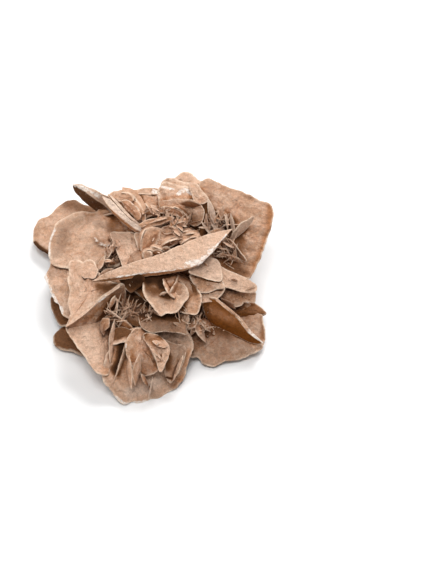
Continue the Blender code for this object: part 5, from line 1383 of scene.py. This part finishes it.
def gypsum(name, groups):
    material = bpy.data.materials.new(name)
    material.use_nodes = True
    t = material.node_tree
    shader = t.nodes["Principled BSDF"]
    place = add(t, "ShaderNodeTexCoord").outputs["Object"]
    marks = {key: add(t, "ShaderNodeAttribute", attribute_name=key).outputs["Fac"]
             for key in ("fromRim", "chip", "tone", "warm", "hollow", "upward")}
    grain = add(t, "ShaderNodeGroup", [("Place", place)], node_tree=groups["grain"])
    edge = add(t, "ShaderNodeGroup", [("Place", place), ("From Rim", marks["fromRim"]), ("Chip", marks["chip"])],
               node_tree=groups["edge"])
    agedAndShaded = add(t, "ShaderNodeGroup", [("Place", place), ("Hollow", marks["hollow"]), ("Upward", marks["upward"])],
               node_tree=groups["weatherLightAndShade"])

    cloud = texture(t, place, 36.0, 6.0, 0.6)
    mottle = texture(t, place, 170.0, 5.0, 0.65)
    stain = texture(t, place, 75.0, 7.0, 0.7)
    broad = ramp(t, cloud, [(0.41, finish["brown"]), (0.46, finish["tan"]), (0.51, finish["pink"]),
                            (0.57, finish["pale"])]).outputs[0]
    close = ramp(t, mottle, [(0.39, finish["brown"]), (0.45, finish["rust"]), (0.51, finish["tan"]),
                             (0.58, finish["pale"])]).outputs[0]
    half = add(t, "ShaderNodeValue")
    half.outputs[0].default_value = 0.5
    colour = mixIn(t, broad, close, half.outputs[0])
    greyShare = add(t, "ShaderNodeMapRange", [(0, stain)], in1=0.56, in2=0.7, in3=0.0, in4=0.5).outputs[0]
    colour = mixIn(t, colour, "grey", greyShare)
    # painted light, with dust, on open faces that look up; rust and painted shade in the hollows, then painted shade
    # darkening them
    dustAndLightShare = add(t, "ShaderNodeMath", [(0, agedAndShaded.outputs["DustAndLight"])], operation="MULTIPLY", in1=0.5).outputs[0]
    colour = mixIn(t, colour, "pale", dustAndLightShare)
    rustAndShadeShare = add(t, "ShaderNodeMath", [(0, agedAndShaded.outputs["RustAndShade"])], operation="MULTIPLY", in1=0.55).outputs[0]
    colour = mixIn(t, mixIn(t, colour, "rust", rustAndShadeShare), "deep", agedAndShaded.outputs["DeepShade"])
    # a crystal's tone, up to umber, down to pale: its own tone, and on some crystals painted shade and painted light
    # set in the tables above
    dark = add(t, "ShaderNodeMapRange", [(0, marks["tone"])], in1=0.0, in2=1.2, in3=0.0, in4=0.95).outputs[0]
    light = add(t, "ShaderNodeMapRange", [(0, marks["tone"])], in1=0.0, in2=-1.0, in3=0.0, in4=0.8).outputs[0]
    black = add(t, "ShaderNodeMapRange", [(0, marks["tone"])], in1=1.1, in2=2.3, in3=0.0, in4=0.92).outputs[0]
    white = add(t, "ShaderNodeMapRange", [(0, marks["tone"])], in1=-0.8, in2=-1.6, in3=0.0, in4=0.8).outputs[0]
    warm = add(t, "ShaderNodeMath", [(0, marks["warm"])], operation="MULTIPLY", in1=0.8, use_clamp=True).outputs[0]
    cool = add(t, "ShaderNodeMapRange", [(0, marks["warm"])], in1=0.0, in2=-1.0, in3=0.0, in4=0.85).outputs[0]
    amber = add(t, "ShaderNodeMapRange", [(0, marks["warm"])], in1=0.9, in2=1.6, in3=0.0, in4=0.85).outputs[0]
    colour = mixIn(t, mixIn(t, mixIn(t, colour, "grey", cool), "rust", warm), "umber", dark)
    colour = mixIn(t, mixIn(t, mixIn(t, colour, "amber", amber), "pale", light), "chalk", white)
    colour = mixIn(t, colour, "shade", black)
    pimple = texture(t, place, 430.0, 3.0, 0.55)
    spotted = add(t, "ShaderNodeMapRange", [(0, pimple)], in1=0.36, in2=0.64, in3=0.9, in4=1.1).outputs[0]
    sandy = add(t, "ShaderNodeMapRange", [(0, grain.outputs["Speckle"])], in3=0.84, in4=1.14).outputs[0]
    speck = add(t, "ShaderNodeMath", [(0, spotted), (1, sandy)], operation="MULTIPLY").outputs[0]
    speckled = add(t, "ShaderNodeVectorMath", [(0, colour)], operation="SCALE")
    t.links.new(speck, speckled.inputs["Scale"])
    # where the tone is dark the rim's wear and painted highlight fade away
    keep = add(t, "ShaderNodeMapRange", [(0, marks["tone"])], in1=0.9, in2=1.7, in3=1.0, in4=0.0).outputs[0]
    rimWornAndLit = add(t, "ShaderNodeMath", [(0, edge.outputs["WearAndHighlight"]), (1, keep)], operation="MULTIPLY").outputs[0]
    colour = mixIn(t, speckled.outputs[0], "edge", rimWornAndLit)
    colour = mixIn(t, colour, "bare", edge.outputs["Bare"])
    t.links.new(colour, shader.inputs["Base Color"])
    rough = add(t, "ShaderNodeMapRange", [(0, edge.outputs["Bare"])], in3=0.9, in4=0.45).outputs[0]
    t.links.new(rough, shader.inputs["Roughness"])
    shader.inputs["Specular IOR Level"].default_value = 0.08
    # bumps, coarse under fine: each bump node gets the one before it as its normal
    lumpy = add(t, "ShaderNodeBump", [("Height", stain)])
    lumpy.inputs["Strength"].default_value = 0.8
    lumpy.inputs["Distance"].default_value = 0.0045
    pitted = add(t, "ShaderNodeBump", [("Height", mottle), ("Normal", lumpy.outputs[0])])
    pitted.inputs["Strength"].default_value = 0.8
    pitted.inputs["Distance"].default_value = 0.003
    pimpled = add(t, "ShaderNodeBump", [("Height", pimple), ("Normal", pitted.outputs[0])])
    pimpled.inputs["Strength"].default_value = 0.9
    pimpled.inputs["Distance"].default_value = 0.001
    grained = add(t, "ShaderNodeBump", [("Height", grain.outputs["Height"]), ("Normal", pimpled.outputs[0])])
    grained.inputs["Strength"].default_value = 0.5
    grained.inputs["Distance"].default_value = 0.00035
    t.links.new(grained.outputs[0], shader.inputs["Normal"])
    return material


stone = gypsum("gypsum", {"grain": sandGrain(), "edge": brokenAndLitEdge(), "weatherLightAndShade": weatherLightAndShade()})
# Pieces whose crystals stand free in their hollow, so that less of the rust and painted shade reaches them.
lifted = {"heartCrystals": 0.68, "curls": 0.66, "needles": 0.55, "blades": 0.65}
built = {name: region.arrays() for name, region in regions.items() if region.count}
cells = markCells(built.values())
for name, (points, faces) in built.items():
    normals = normalsOf(points, faces)
    hollow = hollowness(points, normals, cells) * lifted.get(name, 1.0)
    buildPiece(regions[name], points, faces, hollow, normals, stone)

# The floor: one plain pale sheet under the rose.
floorMesh = bpy.data.meshes.new("floor")
floorMesh.from_pydata([(-3, -3, 0), (3, -3, 0), (3, 3, 0), (-3, 3, 0)], [], [(0, 1, 2, 3)])
floor = bpy.data.objects.new("floor", floorMesh)
bpy.context.scene.collection.objects.link(floor)
paper = bpy.data.materials.new("paper")
paper.use_nodes = True
paper.node_tree.nodes["Principled BSDF"].inputs["Base Color"].default_value = (0.9, 0.9, 0.9, 1)
paper.node_tree.nodes["Principled BSDF"].inputs["Roughness"].default_value = 0.9
floorMesh.materials.append(paper)

# Light: a broad soft box high behind the rose, a weaker one in front and above, a low one on the left.
studio = {
    "room": 0.3,
    "lamps": {
        "backLamp": ((0.4, 0.95, 1.4), 0.8, 24.0),
        "frontLamp": ((-0.1, -0.45, 1.7), 0.7, 16.5),
        "leftLamp": ((-1.5, 0.0, 0.7), 0.8, 6.0),
    },
}
for name, (place, size, power) in studio["lamps"].items():
    lamp = bpy.data.lights.new(name, "AREA")
    lamp.size = size
    lamp.energy = power
    holder = bpy.data.objects.new(name, lamp)
    holder.location = place
    holder.rotation_euler = (-Vector(place)).to_track_quat("-Z", "Y").to_euler()
    bpy.context.scene.collection.objects.link(holder)
room = bpy.data.worlds.new("room")
room.use_nodes = True
room.node_tree.nodes["Background"].inputs[0].default_value = (1, 1, 1, 1)
room.node_tree.nodes["Background"].inputs[1].default_value = studio["room"]
bpy.context.scene.world = room
bpy.context.scene.view_settings.view_transform = "Standard"

camera = bpy.data.objects.new("camera", bpy.data.cameras.new("camera"))
camera.data.sensor_width = 36
camera.data.lens = 100
camera.data.clip_start = 0.01
camera.location = eye * mm
camera.rotation_mode = "QUATERNION"
camera.rotation_quaternion = Vector(-out).to_track_quat("-Z", "Y")
bpy.context.scene.collection.objects.link(camera)
bpy.context.scene.camera = camera

print("sand rose: done")
